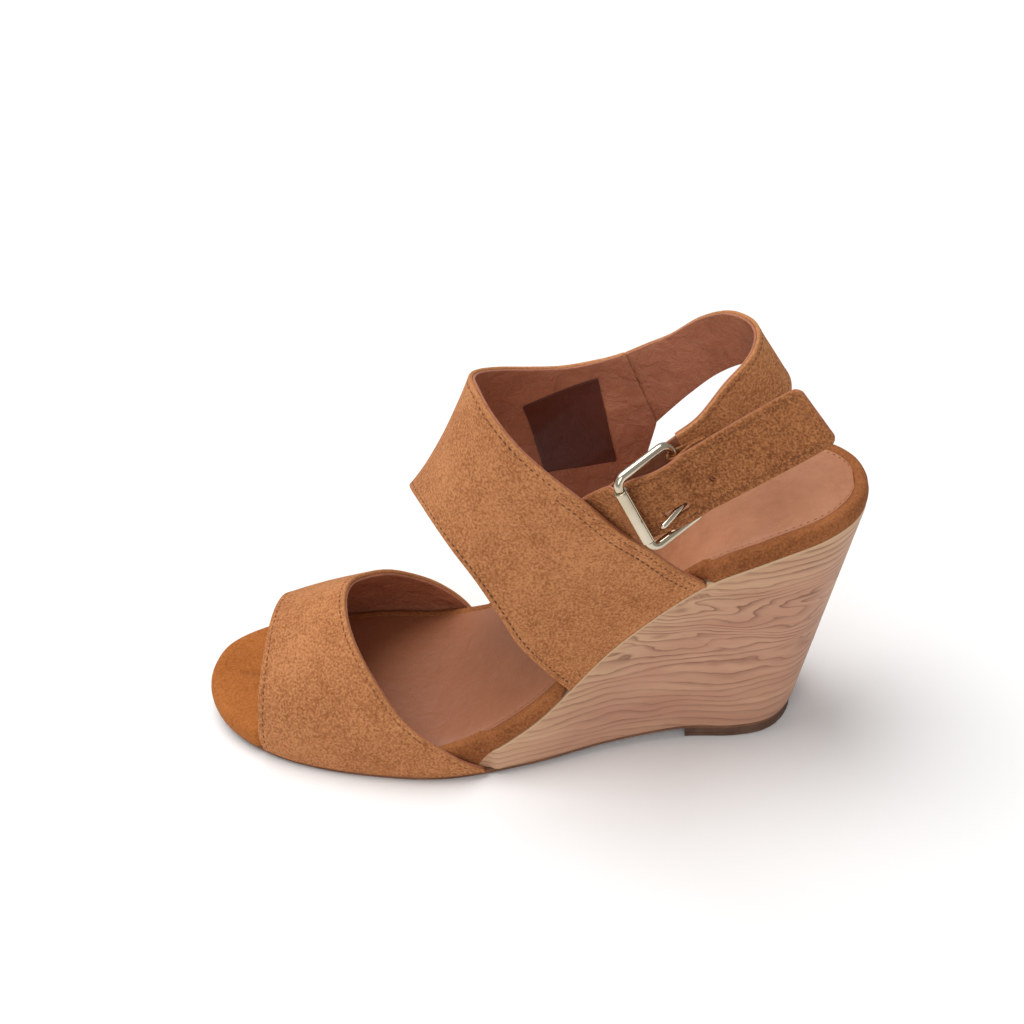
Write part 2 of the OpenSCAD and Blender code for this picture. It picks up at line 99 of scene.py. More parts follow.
def area_light(name, location, target, size, power, colour=(1, 1, 1)):
    light = bpy.data.lights.new(name, "AREA")
    light.shape = "DISK"
    light.size = size
    light.energy = power
    light.color = colour
    o = bpy.data.objects.new(name, light)
    o.location = location
    o.rotation_euler = (Vector(target) - Vector(location)).to_track_quat("-Z", "Y").to_euler()
    scene.collection.objects.link(o)


area_light("key", (-0.62, 0.38, 2.0), (0, 0, 0.05), 2.0, 40, (1, 0.99, 0.98))
area_light("front_fill", (-0.15, -1.3, 0.9), (0, 0, 0.05), 1.1, 5.5)

# ---------------------------------------------------------------- curve helpers, as in the CAD source
SHOE_LEN, HEEL_HEIGHT, LIFT_T, SOLE_T, WRAP_T = 225.0, 88.8, 4.0, 1.8, 1.0
BOARD_T, FOAM_T, SOCK_T, RIM_W = 2.6, 2.8, 1.2, 4.2
OUTER_T, LINING_T, TAB_W = 1.3, 0.9, 22.0
GAP = 0.12
INSET_STRAP = OUTER_T + LINING_T + 0.35
INSET_BAND = INSET_STRAP + 0.7
MID = np.array([112.6, -4.54, 0.0])

LAT_W = [-1, 13.2, 25, 34.2, 40, 42.2, 37, 29, 25.8, 26.4, 22.8, 13.2, 0]
MED_W = [1, 16.5, 27, 34.8, 38.8, 37.2, 30.2, 27, 27.4, 27.8, 23.4, 13.6, 0]
TOP_K = [5.6, 4.9, 3.6, 2.7, 3, 4.8, 19.6, 47.8, 69, 81.2, 86.8, 88.4, HEEL_HEIGHT]
BOT_K = [3, 2.3, 1, 0.2, 0, 0.2, 1, 2.4, LIFT_T, LIFT_T, LIFT_T, LIFT_T, LIFT_T]
LEAN_K = [0, 0, 0, 0, 0, 0, 0, 1.5, 5, 10.5, 16.5, 20.5, 22]
SLIM_K = [1, 1, 1, 1, 1, 1, 0.98, 0.94, 0.89, 0.86, 0.86, 0.87, 0.88]


def row(p):
    """Design millimetres to the frame's metres."""
    return (np.asarray(p, float) - MID) / 1000.0


def unit(v):
    v = np.asarray(v, float)
    return v / np.maximum(np.linalg.norm(v, axis=-1, keepdims=True), 1e-12)


def mix(a, b, f):
    """Mix of two points or arrays of points, f one number a point."""
    a, b, f = (np.asarray(x, float) for x in (a, b, f))
    if a.ndim and f.ndim:
        f = f[..., None]
    return a + (b - a) * f


def ease(v):
    v = np.clip(v, 0, 1)
    return v * v * (3 - 2 * v)


def at(k, s):
    """Catmull-Rom value of knots k at s, s in knot steps."""
    k = np.asarray(k, float)
    flat = k.ndim == 1
    if flat:
        k = k[:, None]
    s = np.asarray(s, float)
    n = len(k) - 1
    i = np.clip(np.floor(s).astype(int), 0, n - 1)
    f = (s - i)[..., None]
    pad = np.vstack([2 * k[0] - k[1], k, 2 * k[n] - k[n - 1]])
    a, b, c, d = pad[i], pad[i + 1], pad[i + 2], pad[i + 3]
    r = b + 0.5 * f * ((c - a) + f * ((2 * a - 5 * b + 4 * c - d) + f * (3 * (b - c) + d - a)))
    return r[..., 0] if flat else r


def curve(k, v):
    return at(k, np.asarray(v, float) * (len(k) - 1))


def px(t):
    return SHOE_LEN / 2 * (1 - np.cos(np.radians(t)))


def ang(x):
    return np.degrees(np.arccos(1 - 2 * np.clip(x, 0, SHOE_LEN) / SHOE_LEN))


def top_z(x):
    return at(TOP_K, ang(x) / 15)


def bot_z(t):
    t = np.asarray(t, float)
    return np.where(t >= 120, LIFT_T, np.minimum(LIFT_T, at(BOT_K, t / 15)))


def edge2(t, s, base):
    w = s * (at(LAT_W, t / 15) if s < 0 else at(MED_W, t / 15))
    x = px(t)
    if base:
        x = x - at(LEAN_K, t / 15)
        w = w * at(SLIM_K, t / 15)
    return np.stack([x, w], -1)


def outline(t, s, d, base=False):
    """Plan point of the top outline (or the base outline), d millimetres inward."""
    t = np.asarray(t, float)
    v = unit(edge2(t + 0.5, s, base) - edge2(t - 0.5, s, base))
    n = s * np.stack([v[..., 1], -v[..., 0]], -1)
    return edge2(t, s, base) + np.asarray(d, float)[..., None] * n


def span(x, r, e):
    return ease((x - r[0] + e) / e) * ease((r[1] + e - x) / e)


TOE_BAND, LAT_BAND, MED_BAND = (20, 97.5), (126.5, 171.8), (117, 148)


def wedge_in(x):
    return INSET_STRAP * ease((TOE_BAND[1] + 4 - x) / 4)


def rim_in(x, s):
    return np.maximum(np.maximum(INSET_STRAP * span(x, TOE_BAND, 2.5),
                                 INSET_BAND * span(x, LAT_BAND if s < 0 else MED_BAND, 2.5)), 0.2)


def raised(p, z):
    return np.concatenate([p, np.asarray(z, float)[..., None]], -1)


def sway(p, scale, seed=0.0):
    """Cheap smooth noise from a few sine products, about -1 to 1, for slow unevenness of leather."""
    x, y, z = (p[..., i] / scale for i in range(3))
    return (np.sin(x * 1.7 + 1.3 * np.sin(y * 1.1 + seed) + seed)
            + np.sin(y * 2.1 + 1.7 * np.sin(z * 1.3 + seed * 2) + 2.1)
            + np.sin(z * 1.9 + 1.1 * np.sin(x * 1.5 - seed) + 4.2)) / 3


# ---------------------------------------------------------------- meshes
def face_outward(me):
    bm = bmesh.new()
    bm.from_mesh(me)
    bmesh.ops.recalc_face_normals(bm, faces=bm.faces)
    bm.to_mesh(me)
    bm.free()


def build(name, verts, faces, body, material, replaces=(), attrs=None):
    """A smooth-shaded mesh piece that rides on a body."""
    me = bpy.data.meshes.new(name)
    me.from_pydata(row(verts).tolist(), [], faces)
    face_outward(me)
    me.polygons.foreach_set("use_smooth", [True] * len(me.polygons))
    for key, value in (attrs or {}).items():
        value = np.asarray(value, np.float32)
        kind = "FLOAT" if value.ndim == 1 else "FLOAT_VECTOR"
        me.attributes.new(key, kind, "POINT").data.foreach_set("value" if value.ndim == 1 else "vector",
                                                               value.ravel())
    me.materials.append(material)
    me.update()
    o = bpy.data.objects.new(name, me)
    scene.collection.objects.link(o)
    if body:
        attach(o, body)
    if replaces:
        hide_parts(*replaces)
    return o


def tube_faces(m, n, loop=False, caps=True):
    """Quads over m rings of n points; each cap is a strip between the ring's two halves."""
    i = np.arange(m if loop else m - 1)[:, None]
    j = np.arange(n)[None, :]
    a, b = i * n + j, i * n + (j + 1) % n
    c, d = ((i + 1) % m) * n + (j + 1) % n, ((i + 1) % m) * n + j
    faces = np.stack(np.broadcast_arrays(a, b, c, d), -1).reshape(-1, 4).tolist()
    if caps and not loop:
        for r in (0, (m - 1) * n):
            for k in range(n // 2 - 1):
                faces.append([r + k, r + k + 1, r + n - 2 - k, r + n - 1 - k])
    return faces


def crease_sharp(o, degrees):
    """Keeps hard edges hard under smooth shading."""
    bm = bmesh.new()
    bm.from_mesh(o.data)
    limit = math.radians(degrees)
    for e in bm.edges:
        if len(e.link_faces) == 2 and e.calc_face_angle(0) > limit:
            e.smooth = False
    bm.to_mesh(o.data)
    bm.free()


def normals(surf, u, v):
    h = 0.004
    return unit(np.cross(surf(u, v + h) - surf(u, v - h), surf(u + h, v) - surf(u - h, v)))


def lengths(surf, v):
    """Width across and distance along the middle, in millimetres, at each v."""
    uu = np.linspace(0, 1, 13)
    g = surf(np.tile(uu, (len(v), 1)), np.repeat(v[:, None], 13, 1))
    across = np.linalg.norm(np.diff(g, axis=1), axis=2).sum(1)
    mid = surf(np.full(len(v), 0.5), v)
    along = np.r_[0, np.cumsum(np.linalg.norm(np.diff(mid, axis=0), axis=1))]
    return across, along


def rows_for(surf, v0, v1, step, ends, rnd):
    """v values about step apart, closer at rounded ends, with their distances along the strip and to a free
    end.
    """
    fine = np.linspace(v0, v1, 400)
    _, along = lengths(surf, fine)
    total = along[-1]
    s = np.linspace(0, total, max(4, int(round(total / step)) + 1))
    near = rnd * np.array([0, 0.08, 0.3, 0.6, 1.0])
    if ends[0]:
        s = np.r_[near, s[s > rnd * 1.2]]
    if ends[1]:
        s = np.r_[s[s < total - rnd * 1.2], total - near[::-1]]
    v = np.interp(s, along, fine)
    free = np.full(len(s), 1e3)
    if ends[0]:
        free = np.minimum(free, s)
    if ends[1]:
        free = np.minimum(free, total - s)
    return v, s, free


def ribbon_mesh(surf, v0, v1, a, b, out=1, rnd=0.4, ends=(False, False), corner=0.0, step=1.2, across=1.6,
                grooves=(), relief=None, belly=0.0):
    """Closed strip of leather over a surface, from offset a to b outward, with rounded, grooved edges.
    grooves are (side, distance, v from, v to) on the face at b. Returns vertices, faces and attributes."""
    v, s, free = rows_for(surf, v0, v1, step, ends, rnd)
    width, _ = lengths(surf, v)
    inset = np.zeros(len(v))
    if corner:
        e = np.clip(corner - free, 0, corner)
        inset = corner - np.sqrt(np.maximum(corner ** 2 - e ** 2, 0))
    near = list(rnd * np.array([0, 0.08, 0.3, 0.6, 1.0]))
    gauss = 0.34
    left, right = list(near), list(near)
    for side, dist in sorted({(g[0], g[1]) for g in grooves}):
        cols = [dist + k * gauss for k in (-2.4, -1.3, -0.6, 0, 0.6, 1.3, 2.4)]
        (left if side == 0 else right).extend(c for c in cols if c > rnd * 1.15)
    left, right = sorted(set(left)), sorted(set(right))
    middle = max(2, int(np.median(width) / across))
    lo, hi = left[-1], right[-1]
    d = []
    for w, i in zip(width, inset):
        inner = np.linspace(i + lo, w - i - hi, middle + 2)[1:-1]
        d.append(np.r_[i + np.array(left), inner, w - i - np.array(right)[::-1]])
    d = np.array(d)
    m, n = d.shape
    u = d / width[:, None]
    vv = np.repeat(v[:, None], n, 1)
    base, nor = surf(u, vv), normals(surf, u, vv) * out
    rim = np.minimum(np.minimum(d - inset[:, None], width[:, None] - inset[:, None] - d), free[:, None])
    k = np.clip(rim / rnd, 0, 1)
    half = (b - a) / 2
    r = min(rnd, half * 0.96)
    drop = r - r * np.sqrt(np.maximum(1 - (1 - k) ** 2, 0))
    top = np.full_like(d, b) - drop
    low = np.full_like(d, a) + drop
    for side, dist, g0, g1 in grooves:
        x = d if side == 0 else width[:, None] - d
        if side == 2:
            x = free[:, None] * np.ones_like(d)
        mask = (vv >= g0) & (vv <= g1)
        dent = 0.15 * np.exp(-((x - dist) / gauss) ** 2) * mask
        roll = 0.10 * np.exp(-((x - dist * 0.45) / (dist * 0.4)) ** 2) * mask
        top = top - dent + roll
    if belly:
        f = np.clip(rim / 6.0, 0, 1)
        top = top + belly * ease(f)
    if relief is not None:
        top = top + relief(base) * np.clip(rim / 2.5, 0, 1)
    up, down = base + nor * top[..., None], base + nor * low[..., None]
    verts = np.concatenate([up, down[:, ::-1]], 1)
    wear = np.exp(-rim / 0.35)
    attrs = {"worn": np.concatenate([wear, wear[:, ::-1]], 1).ravel(),
             "along": np.stack([np.concatenate([np.repeat(s[:, None], n, 1)] * 2, 1),
                                np.concatenate([d, d[:, ::-1]], 1), np.zeros((m, 2 * n))], -1).reshape(-1, 3)}
    return verts.reshape(-1, 3), tube_faces(m, 2 * n), attrs


def ribbon(name, surf, v0, v1, a, b, body, slot, material, replaces=(), **kw):
    verts, faces, attrs = ribbon_mesh(surf, v0, v1, a, b, **kw)
    return build(name, verts, faces, body, material, replaces, attrs)


def stitch_line(surf, side, dist, v0, v1, h, out=1, pitch=2.3):
    """Centres, tangents and normals of stitches at a distance from one edge."""
    v = np.linspace(v0, v1, 500)
    width, _ = lengths(surf, v)
    u = dist / width if side == 0 else 1 - dist / width
    nor = normals(surf, u, v) * out
    p = surf(u, v) + nor * h
    return space_out(p, nor, pitch)


def space_out(p, nor, pitch):
    s = np.r_[0, np.cumsum(np.linalg.norm(np.diff(p, axis=0), axis=1))]
    count = max(2, int(s[-1] / pitch))
    c = (np.arange(count) + 0.5) * s[-1] / count
    q = np.stack([np.interp(c, s, p[:, i]) for i in range(3)], -1)
    n = unit(np.stack([np.interp(c, s, nor[:, i]) for i in range(3)], -1))
    a = np.stack([np.interp(c - 0.3, s, p[:, i]) for i in range(3)], -1)
    b = np.stack([np.interp(c + 0.3, s, p[:, i]) for i in range(3)], -1)
    return q, unit(b - a), n


def stitches(name, lines, body, material, length=1.7, r=0.24):
    """One mesh of short sunk threads, one per stitch."""
    q, t, n = (np.concatenate([x[i] for x in lines]) for i in range(3))
    count = len(q)
    turn = rng.uniform(-0.07, 0.07, count)[:, None]
    side = unit(np.cross(n, t))
    t = unit(t + side * turn)
    side = unit(np.cross(n, t))
    xs = np.array([-0.5, -0.4, -0.2, 0.0, 0.2, 0.4, 0.5]) * length
    rad = r * np.array([0.35, 0.85, 1.0, 1.0, 1.0, 0.85, 0.35])
    lift = np.array([-0.30, -0.13, 0.0, 0.04, 0.0, -0.13, -0.30])
    a = np.linspace(0, 2 * np.pi, 8, endpoint=False)
    centre = (q[:, None, None] + t[:, None, None] * xs[None, :, None, None]
              + n[:, None, None] * lift[None, :, None, None])
    ring = (side[:, None, None] * (np.cos(a)[None, None, :, None] * rad[None, :, None, None] * 1.15)
            + n[:, None, None] * (np.sin(a)[None, None, :, None] * rad[None, :, None, None] * 0.8))
    verts = (centre + ring).reshape(-1, 3)
    one = np.array(tube_faces(len(xs), len(a), caps=False))
    per = len(xs) * len(a)
    faces = (one[None] + (np.arange(count) * per)[:, None, None]).reshape(-1, 4).tolist()
    for k in range(count):
        faces.append(list(range(k * per, k * per + 8)))
        faces.append(list(range((k + 1) * per - 8, (k + 1) * per)))
    return build(name, verts, faces, body, material)


# ---------------------------------------------------------------- materials
def linear(rgb):
    return tuple(((c / 255 + 0.055) / 1.055) ** 2.4 if c > 10 else c / 255 / 12.92 for c in rgb) + (1.0,)


class Look:
    """A node material: helper calls add nodes and return their outputs."""

    def __init__(self, name, rough=0.5, metallic=0.0, spec=0.5, sheen=0.0, sheen_tint=(255, 255, 255),
                 sheen_rough=0.5):
        self.m = bpy.data.materials.new(name)
        self.m.use_nodes = True
        self.t = self.m.node_tree
        self.b = self.t.nodes["Principled BSDF"]
        for key, value in (("Roughness", rough), ("Metallic", metallic), ("Specular IOR Level", spec),
                           ("Sheen Weight", sheen), ("Sheen Roughness", sheen_rough),
                           ("Sheen Tint", linear(sheen_tint))):
            self.b.inputs[key].default_value = value
        self.coord = self.t.nodes.new("ShaderNodeTexCoord").outputs["Object"]

    def put(self, socket, value):
        if isinstance(value, bpy.types.NodeSocket):
            self.t.links.new(value, socket)
        else:
            socket.default_value = value

    def node(self, kind, **inputs):
        n = self.t.nodes.new("ShaderNode" + kind)
        for key, value in inputs.items():
            self.put(n.inputs[key], value)
        return n

    def attr(self, name, out="Fac"):
        n = self.node("Attribute")
        n.attribute_name = name
        return n.outputs[out]

    def noise(self, scale, detail=3.0, rough=0.55, distortion=0.0, coord=None):
        return self.node("TexNoise", Vector=coord or self.coord, Scale=scale, Detail=detail, Roughness=rough,
                         Distortion=distortion).outputs["Fac"]

    def cells(self, scale):
        return self.node("TexVoronoi", Vector=self.coord, Scale=scale).outputs["Distance"]

    def math(self, op, *values, clamp=False):
        n = self.node("Math")
        n.operation = op
        n.use_clamp = clamp
        for s, v in zip(n.inputs, values):
            self.put(s, v)
        return n.outputs[0]

    def mul(self, a, b, clamp=False):
        return self.math("MULTIPLY", a, b, clamp=clamp)

    def add(self, a, b):
        return self.math("ADD", a, b)

    def sub(self, a, b):
        return self.math("SUBTRACT", a, b)

    def split(self, vector):
        """The three numbers of a vector."""
        return self.node("SeparateXYZ", Vector=vector).outputs

    def ramp(self, fac, stops, smooth=False):
        n = self.node("ValToRGB", Fac=fac)
        e = n.color_ramp.elements
        while len(e) < len(stops):
            e.new(0.5)
        for item, (pos, rgb) in zip(e, stops):
            item.position = pos
            item.color = linear(rgb) if isinstance(rgb, tuple) else (rgb, rgb, rgb, 1)
        if smooth:
            n.color_ramp.interpolation = "EASE"
        return n.outputs["Color"]

    def blend(self, fac, a, b):
        n = self.node("Mix")
        n.data_type = "RGBA"
        self.put(n.inputs["Factor"], fac)
        self.put(n.inputs[6], linear(a) if isinstance(a, tuple) else a)
        self.put(n.inputs[7], linear(b) if isinstance(b, tuple) else b)
        return n.outputs[2]

    def spread(self, value, low, high, to_low=0.0, to_high=1.0):
        n = self.node("MapRange", Value=value)
        for i, x in enumerate((low, high, to_low, to_high), 1):
            n.inputs[i].default_value = x
        return n.outputs[0]

    def scaled(self, coord, scale):
        return self.node("Mapping", Vector=coord, Scale=scale).outputs[0]

    def bump(self, height, strength, distance, under=None):
        n = self.node("Bump", Height=height, Strength=strength, Distance=distance)
        if under:
            self.put(n.inputs["Normal"], under)
        return n.outputs[0]

    def done(self, colour, rough=None, normal=None):
        for key, value in (("Base Color", colour), ("Roughness", rough), ("Normal", normal)):
            if value is not None:
                self.put(self.b.inputs[key], value)
        return self.m


def suede(name, base, light, dark, edge, grain=1.0):
    k = Look(name, rough=0.92, spec=0.15, sheen=0.22, sheen_tint=light, sheen_rough=0.45)
    patch = k.noise(55, 4, 0.6)
    nap = k.noise(300, 3, 0.6)
    fine = k.noise(1250, 2, 0.6)
    speck = k.noise(2600, 1, 0.5)
    colour = k.blend(k.spread(patch, 0.32, 0.68), dark, light)
    colour = k.blend(0.62, colour, base)
    fac = k.add(k.mul(fine, 0.86), k.mul(nap, 0.14))
    colour = k.blend(k.mul(k.spread(fac, 0.49, 0.64), 0.66 * grain), colour, light)
    colour = k.blend(k.mul(k.spread(fac, 0.49, 0.36), 0.62 * grain), colour, dark)
    colour = k.blend(k.mul(k.attr("worn"), 0.35, clamp=True), colour, edge)
    height = k.add(k.mul(fine, 0.7), k.mul(speck, 0.3))
    n = k.bump(nap, 0.25, 0.0012)
    return k.done(colour, None, k.bump(height, 0.55, 0.0006, n))


def leather(name, base, light, dark, edge, rough, pores, wrinkle, forefoot_shade=None):
    k = Look(name, rough=rough, spec=0.4, sheen_tint=light)
    patch = k.noise(45, 4, 0.6)
    mottle = k.noise(320, 3, 0.6)
    pore = k.cells(pores)
    colour = k.blend(k.spread(patch, 0.32, 0.68), dark, light)
    colour = k.blend(0.5, colour, base)
    colour = k.blend(k.mul(k.spread(mottle, 0.35, 0.65), 0.25), colour, light)
    colour = k.blend(k.mul(k.spread(pore, 0.22, 0.0), 0.35, clamp=True), colour, dark)
    colour = k.blend(k.mul(k.attr("worn"), 0.25, clamp=True), colour, edge)
    if forefoot_shade:                              # painted shade: darker towards the ball of the foot, where the straps shade the sock
        colour = k.blend(k.mul(k.spread(k.split(k.coord)[0], 0.05, -0.03), 0.8, clamp=True), colour, forefoot_shade)
    crease = k.noise(160, 5, 0.62, 0.6)
    n = k.bump(crease, wrinkle, 0.0035)
    n = k.bump(k.spread(pore, 0.0, 0.35), 0.25, 0.0003, n)
    r = k.spread(mottle, 0.3, 0.7, rough - 0.07, rough + 0.09)
    return k.done(colour, r, n)


SUEDE = suede("suede", (180, 116, 72), (208, 146, 98), (130, 76, 42), (196, 138, 92))
SUEDE_TAB = suede("suede_tab", (142, 84, 48), (186, 126, 80), (92, 50, 26), (172, 116, 74))
SUEDE_TOE = suede("suede_toe", (174, 102, 48), (192, 122, 66), (140, 78, 34), (176, 112, 62), 0.7)
SUEDE_RIM = suede("suede_rim", (148, 88, 50), (172, 110, 66), (102, 56, 30), (166, 108, 66), 0.8)
LINING = leather("lining_leather", (172, 104, 74), (190, 124, 92), (136, 78, 52), (176, 116, 88),
                 0.5, 1000, 0.6)
GUARD = leather("guard_leather", (150, 92, 62), (170, 112, 78), (116, 66, 42), (180, 126, 92), 0.6, 1100, 0.4)
# the sock's last colour is painted shade for its front part, which the straps shade
SOCK = leather("sock_leather", (174, 115, 80), (190, 131, 95), (152, 95, 64), (160, 100, 70),
               0.46, 1300, 0.16, forefoot_shade=(150, 92, 62))
LABEL = leather("label_leather", (84, 36, 24), (94, 44, 30), (70, 28, 18), (96, 46, 32), 0.45, 1300, 0.12)


def thread(name, rgb):
    k = Look(name, rough=0.65, spec=0.3)
    twist = k.noise(2500, 1, 0.5)
    dark = tuple(int(c * 0.6) for c in rgb)
    return k.done(k.blend(k.spread(twist, 0.4, 0.6), rgb, dark), None, k.bump(twist, 0.4, 0.0002))


THREAD_DARK = thread("thread_dark", (118, 72, 46))
THREAD_TAN = thread("thread_tan", (158, 98, 58))
THREAD_TAB = thread("thread_tab", (156, 98, 60))
THREAD_SOCK = thread("thread_sock", (128, 80, 54))


def wood():
    k = Look("wood_wrap", rough=0.5, spec=0.35)
    uv = k.attr("along", "Vector")            # s, z and depth below the top edge, all in millimetres / 100
    _, z, deep = k.split(uv)
    slow = k.noise(1.0, 2, 0.5, 0.0, k.scaled(uv, (1.2, 3.2, 0.0)))
    mid = k.noise(1.0, 3, 0.5, 0.4, k.scaled(uv, (1.7, 5.5, 0.0)))
    tiny = k.noise(1.0, 2, 0.5, 0.0, k.scaled(uv, (22.0, 110.0, 0.0)))
    # strength of the flame figure, largest in a band across the upper middle
    flame = k.mul(k.spread(z, 0.36, 0.50), k.spread(z, 0.76, 0.62))
    flame = k.add(k.mul(flame, 0.85), 0.32)
    wave = k.mul(k.sub(slow, 0.5), 0.22)
    knots = k.mul(k.mul(k.sub(mid, 0.5), 0.40), flame)
    field = k.add(k.add(z, wave), knots)
    field = k.add(field, k.mul(tiny, 0.006))
    rings = k.math("FRACT", k.mul(field, 31.0))
    broad = k.math("FRACT", k.mul(field, 8.3))
    line = k.ramp(rings, [(0.0, 0.25), (0.10, 0.02), (0.55, 0.10), (0.86, 0.62), (0.95, 1.0), (1.0, 0.45)])
    veil = k.noise(1.0, 3, 0.55, 0.0, k.scaled(uv, (3.5, 12.0, 0.0)))
    line = k.mul(line, k.spread(veil, 0.30, 0.62, 0.35, 1.0))
    line = k.mul(line, k.spread(z, 0.18, 0.48, 0.68, 1.0))
    fibre = k.noise(1.0, 3, 0.6, 0.0, k.scaled(uv, (9.0, 420.0, 0.0)))
    tone = k.ramp(k.noise(1.0, 3, 0.5, 0.0, k.scaled(uv, (1.6, 9.0, 0.0))),
                  [(0.30, (184, 134, 108)), (0.52, (196, 148, 120)), (0.72, (208, 162, 130))], True)
    pale = k.spread(deep, 0.22, 0.02)
    tone = k.blend(k.mul(pale, 0.55), tone, (216, 178, 138))
    tone = k.blend(k.mul(k.spread(broad, 0.2, 1.0), 0.22), tone, (178, 124, 98))
    colour = k.blend(k.mul(line, 0.86), tone, (112, 66, 46))
    colour = k.blend(k.mul(k.spread(fibre, 0.50, 0.72), 0.30), colour, (150, 100, 76))
    colour = k.blend(k.spread(deep, 0.012, 0.006), colour, (208, 172, 136))
    n = k.bump(fibre, 0.12, 0.0004)
    return k.done(colour, k.spread(fibre, 0.3, 0.7, 0.46, 0.60), k.bump(line, -0.10, 0.0004, n))


WOOD = wood()


def rubber(name, base, light):
    k = Look(name, rough=0.62, spec=0.35)
    grain = k.noise(900, 3, 0.6)
    dust = k.noise(70, 4, 0.6)
    colour = k.blend(k.spread(dust, 0.4, 0.75), base, light)
    colour = k.blend(k.mul(k.attr("worn"), 0.5, clamp=True), colour, light)
    return k.done(colour, k.spread(grain, 0.3, 0.7, 0.5, 0.75), k.bump(grain, 0.3, 0.0005))


SOLE = rubber("sole_rubber", (112, 74, 50), (146, 102, 74))
LIFT = rubber("lift_rubber", (84, 56, 42), (122, 90, 70))


def polished():
    k = Look("buckle_metal", rough=0.13, metallic=1.0)
    fine = k.noise(700, 3, 0.6)
    colour = k.blend(k.spread(k.noise(90, 3, 0.5), 0.35, 0.7), (214, 202, 182), (196, 182, 158))
    return k.done(colour, k.spread(fine, 0.3, 0.75, 0.07, 0.20), k.bump(fine, 0.06, 0.0003))


METAL = polished()


def plain(name, base, other, rough, scale, metallic=0.0, strength=0.2):
    k = Look(name, rough=rough, metallic=metallic)
    n = k.noise(scale, 4, 0.6)
    return k.done(k.blend(k.spread(n, 0.35, 0.65), base, other),
                  k.spread(n, 0.3, 0.7, rough - 0.08, rough + 0.08), k.bump(n, strength, 0.0006))


CAD_LOOKS = {
    "wedge_core": plain("core", (214, 196, 164), (196, 174, 138), 0.85, 240),
    "insole_board": plain("board", (168, 132, 98), (146, 110, 78), 0.8, 500),
    "insole_foam": plain("foam", (236, 226, 196), (220, 206, 170), 0.9, 1400, 0.0, 0.5),
    "shank": plain("steel_strip", (176, 178, 184), (150, 152, 158), 0.35, 300, 1.0),
    "shank_rivets": plain("rivet_steel", (186, 186, 188), (160, 160, 164), 0.3, 600, 1.0),
    "heel_nails": plain("nail_steel", (170, 170, 174), (140, 140, 146), 0.4, 700, 1.0),
}
CAD_LOOKS["lift_nails"] = CAD_LOOKS["heel_nails"]
for key, look in CAD_LOOKS.items():
    nodes[key].data.materials.clear()
    nodes[key].data.materials.append(look)

# ---------------------------------------------------------------- platform
RIM_KNOTS = np.array([[0.85, 0.16], [0.1, 0.16], [-0.3, 1.4], [-0.42, 3.2], [-0.15, 5.0], [0.65, 6.45],
                      [1.85, 7.05], [3.05, 6.9], [3.95, 6.45], [4.3, 5.9], [4.2, 5.52], [2.6, 5.52],
                      [0.95, 5.52], [0.85, 4.4], [0.85, 2.2]])


def rim_section(count=44):
    """Smooth closed section of the rolled rim: inset from the outline, height over the wedge top."""
    knots = np.vstack([RIM_KNOTS[-1:], RIM_KNOTS, RIM_KNOTS[:2]])
    return at(knots, 1 + np.linspace(0, len(RIM_KNOTS), count, endpoint=False))


def stations(t0, t1, step):
    """Plan angles about step millimetres apart along the outline."""
    t = np.linspace(t0, t1, 900)
    s = np.r_[0, np.cumsum(np.linalg.norm(np.diff(edge2(t, -1, False), axis=0), axis=1))]
    return np.interp(np.linspace(0, s[-1], int(s[-1] / step) + 1), s, t)


def both_sides(t0, t1, step, ring):
    """Rings along the outer side from toe to heel and back along the inner side."""
    t = stations(t0, t1, step)
    return np.array([ring(x, -1) for x in t] + [ring(x, 1) for x in t[::-1]])


def rim():
    sec = rim_section()

    def ring(t, s):
        x = px(t)
        d = rim_in(x, s) + sec[:, 0]
        p = outline(np.full(len(sec), t), s, d)
        low = np.minimum(0, bot_z(t) + SOLE_T + 0.1 - top_z(x)) * ease((84 - t) / 4)
        h = sec[:, 1] + np.where(sec[:, 1] < 1.0, low, 0)
        return raised(p, top_z(p[:, 0]) + h)
    rings = both_sides(2.5, 177.5, 1.6, ring)
    verts = rings.reshape(-1, 3)
    verts = verts + 0.10 * sway(verts, 7, 1.0)[:, None] * unit(verts - verts.mean(0)) * 0.6
    m, n = rings.shape[:2]
    x = verts[:, 0]
    build("rim_binding", verts, tube_faces(m, n, loop=True), "shoe", SUEDE_RIM, ["insole_rim"],
          {"worn": 0.5 * np.exp(-((verts[:, 2] - top_z(np.clip(x, 0.1, 224.9)) - 6.8) / 0.6) ** 2)})


rim()

BASE_H = BOARD_T + FOAM_T + GAP
SOCK_AT = BOARD_T + FOAM_T + 0.6
SOCK_SEAM = 1.3


def sock(u, v):
    """Middle of the sock, a little under the rim all round, with an even edge."""
    p = mix(outline(v, -1, np.full(np.shape(v), RIM_W)), outline(v, 1, np.full(np.shape(v), RIM_W)), u)
    return raised(p, top_z(p[..., 0]) + SOCK_AT)


def footprint(p):
    """Slight hollows of the heel and the ball of the foot in the padded sock."""
    heel = np.exp(-(((p[..., 0] - 196) / 17) ** 2 + ((p[..., 1] - 1) / 13) ** 2))
    ball = np.exp(-(((p[..., 0] - 66) / 22) ** 2 + ((p[..., 1]) / 24) ** 2))
    return -0.5 * heel - 0.35 * ball + 0.12 * sway(p, 9, 3.0)


pad = ribbon("footbed_pad", sock, 41, 174.6, BASE_H - 0.02 - SOCK_AT, BOARD_T + FOAM_T + SOCK_T - SOCK_AT,
             "shoe", "sock_leather", SOCK, ["sock_lining"], rnd=0.5, ends=(True, True), step=1.6, across=2.2,
             belly=0.45, relief=footprint, grooves=[(side, SOCK_SEAM, 0, 180) for side in (0, 1)])


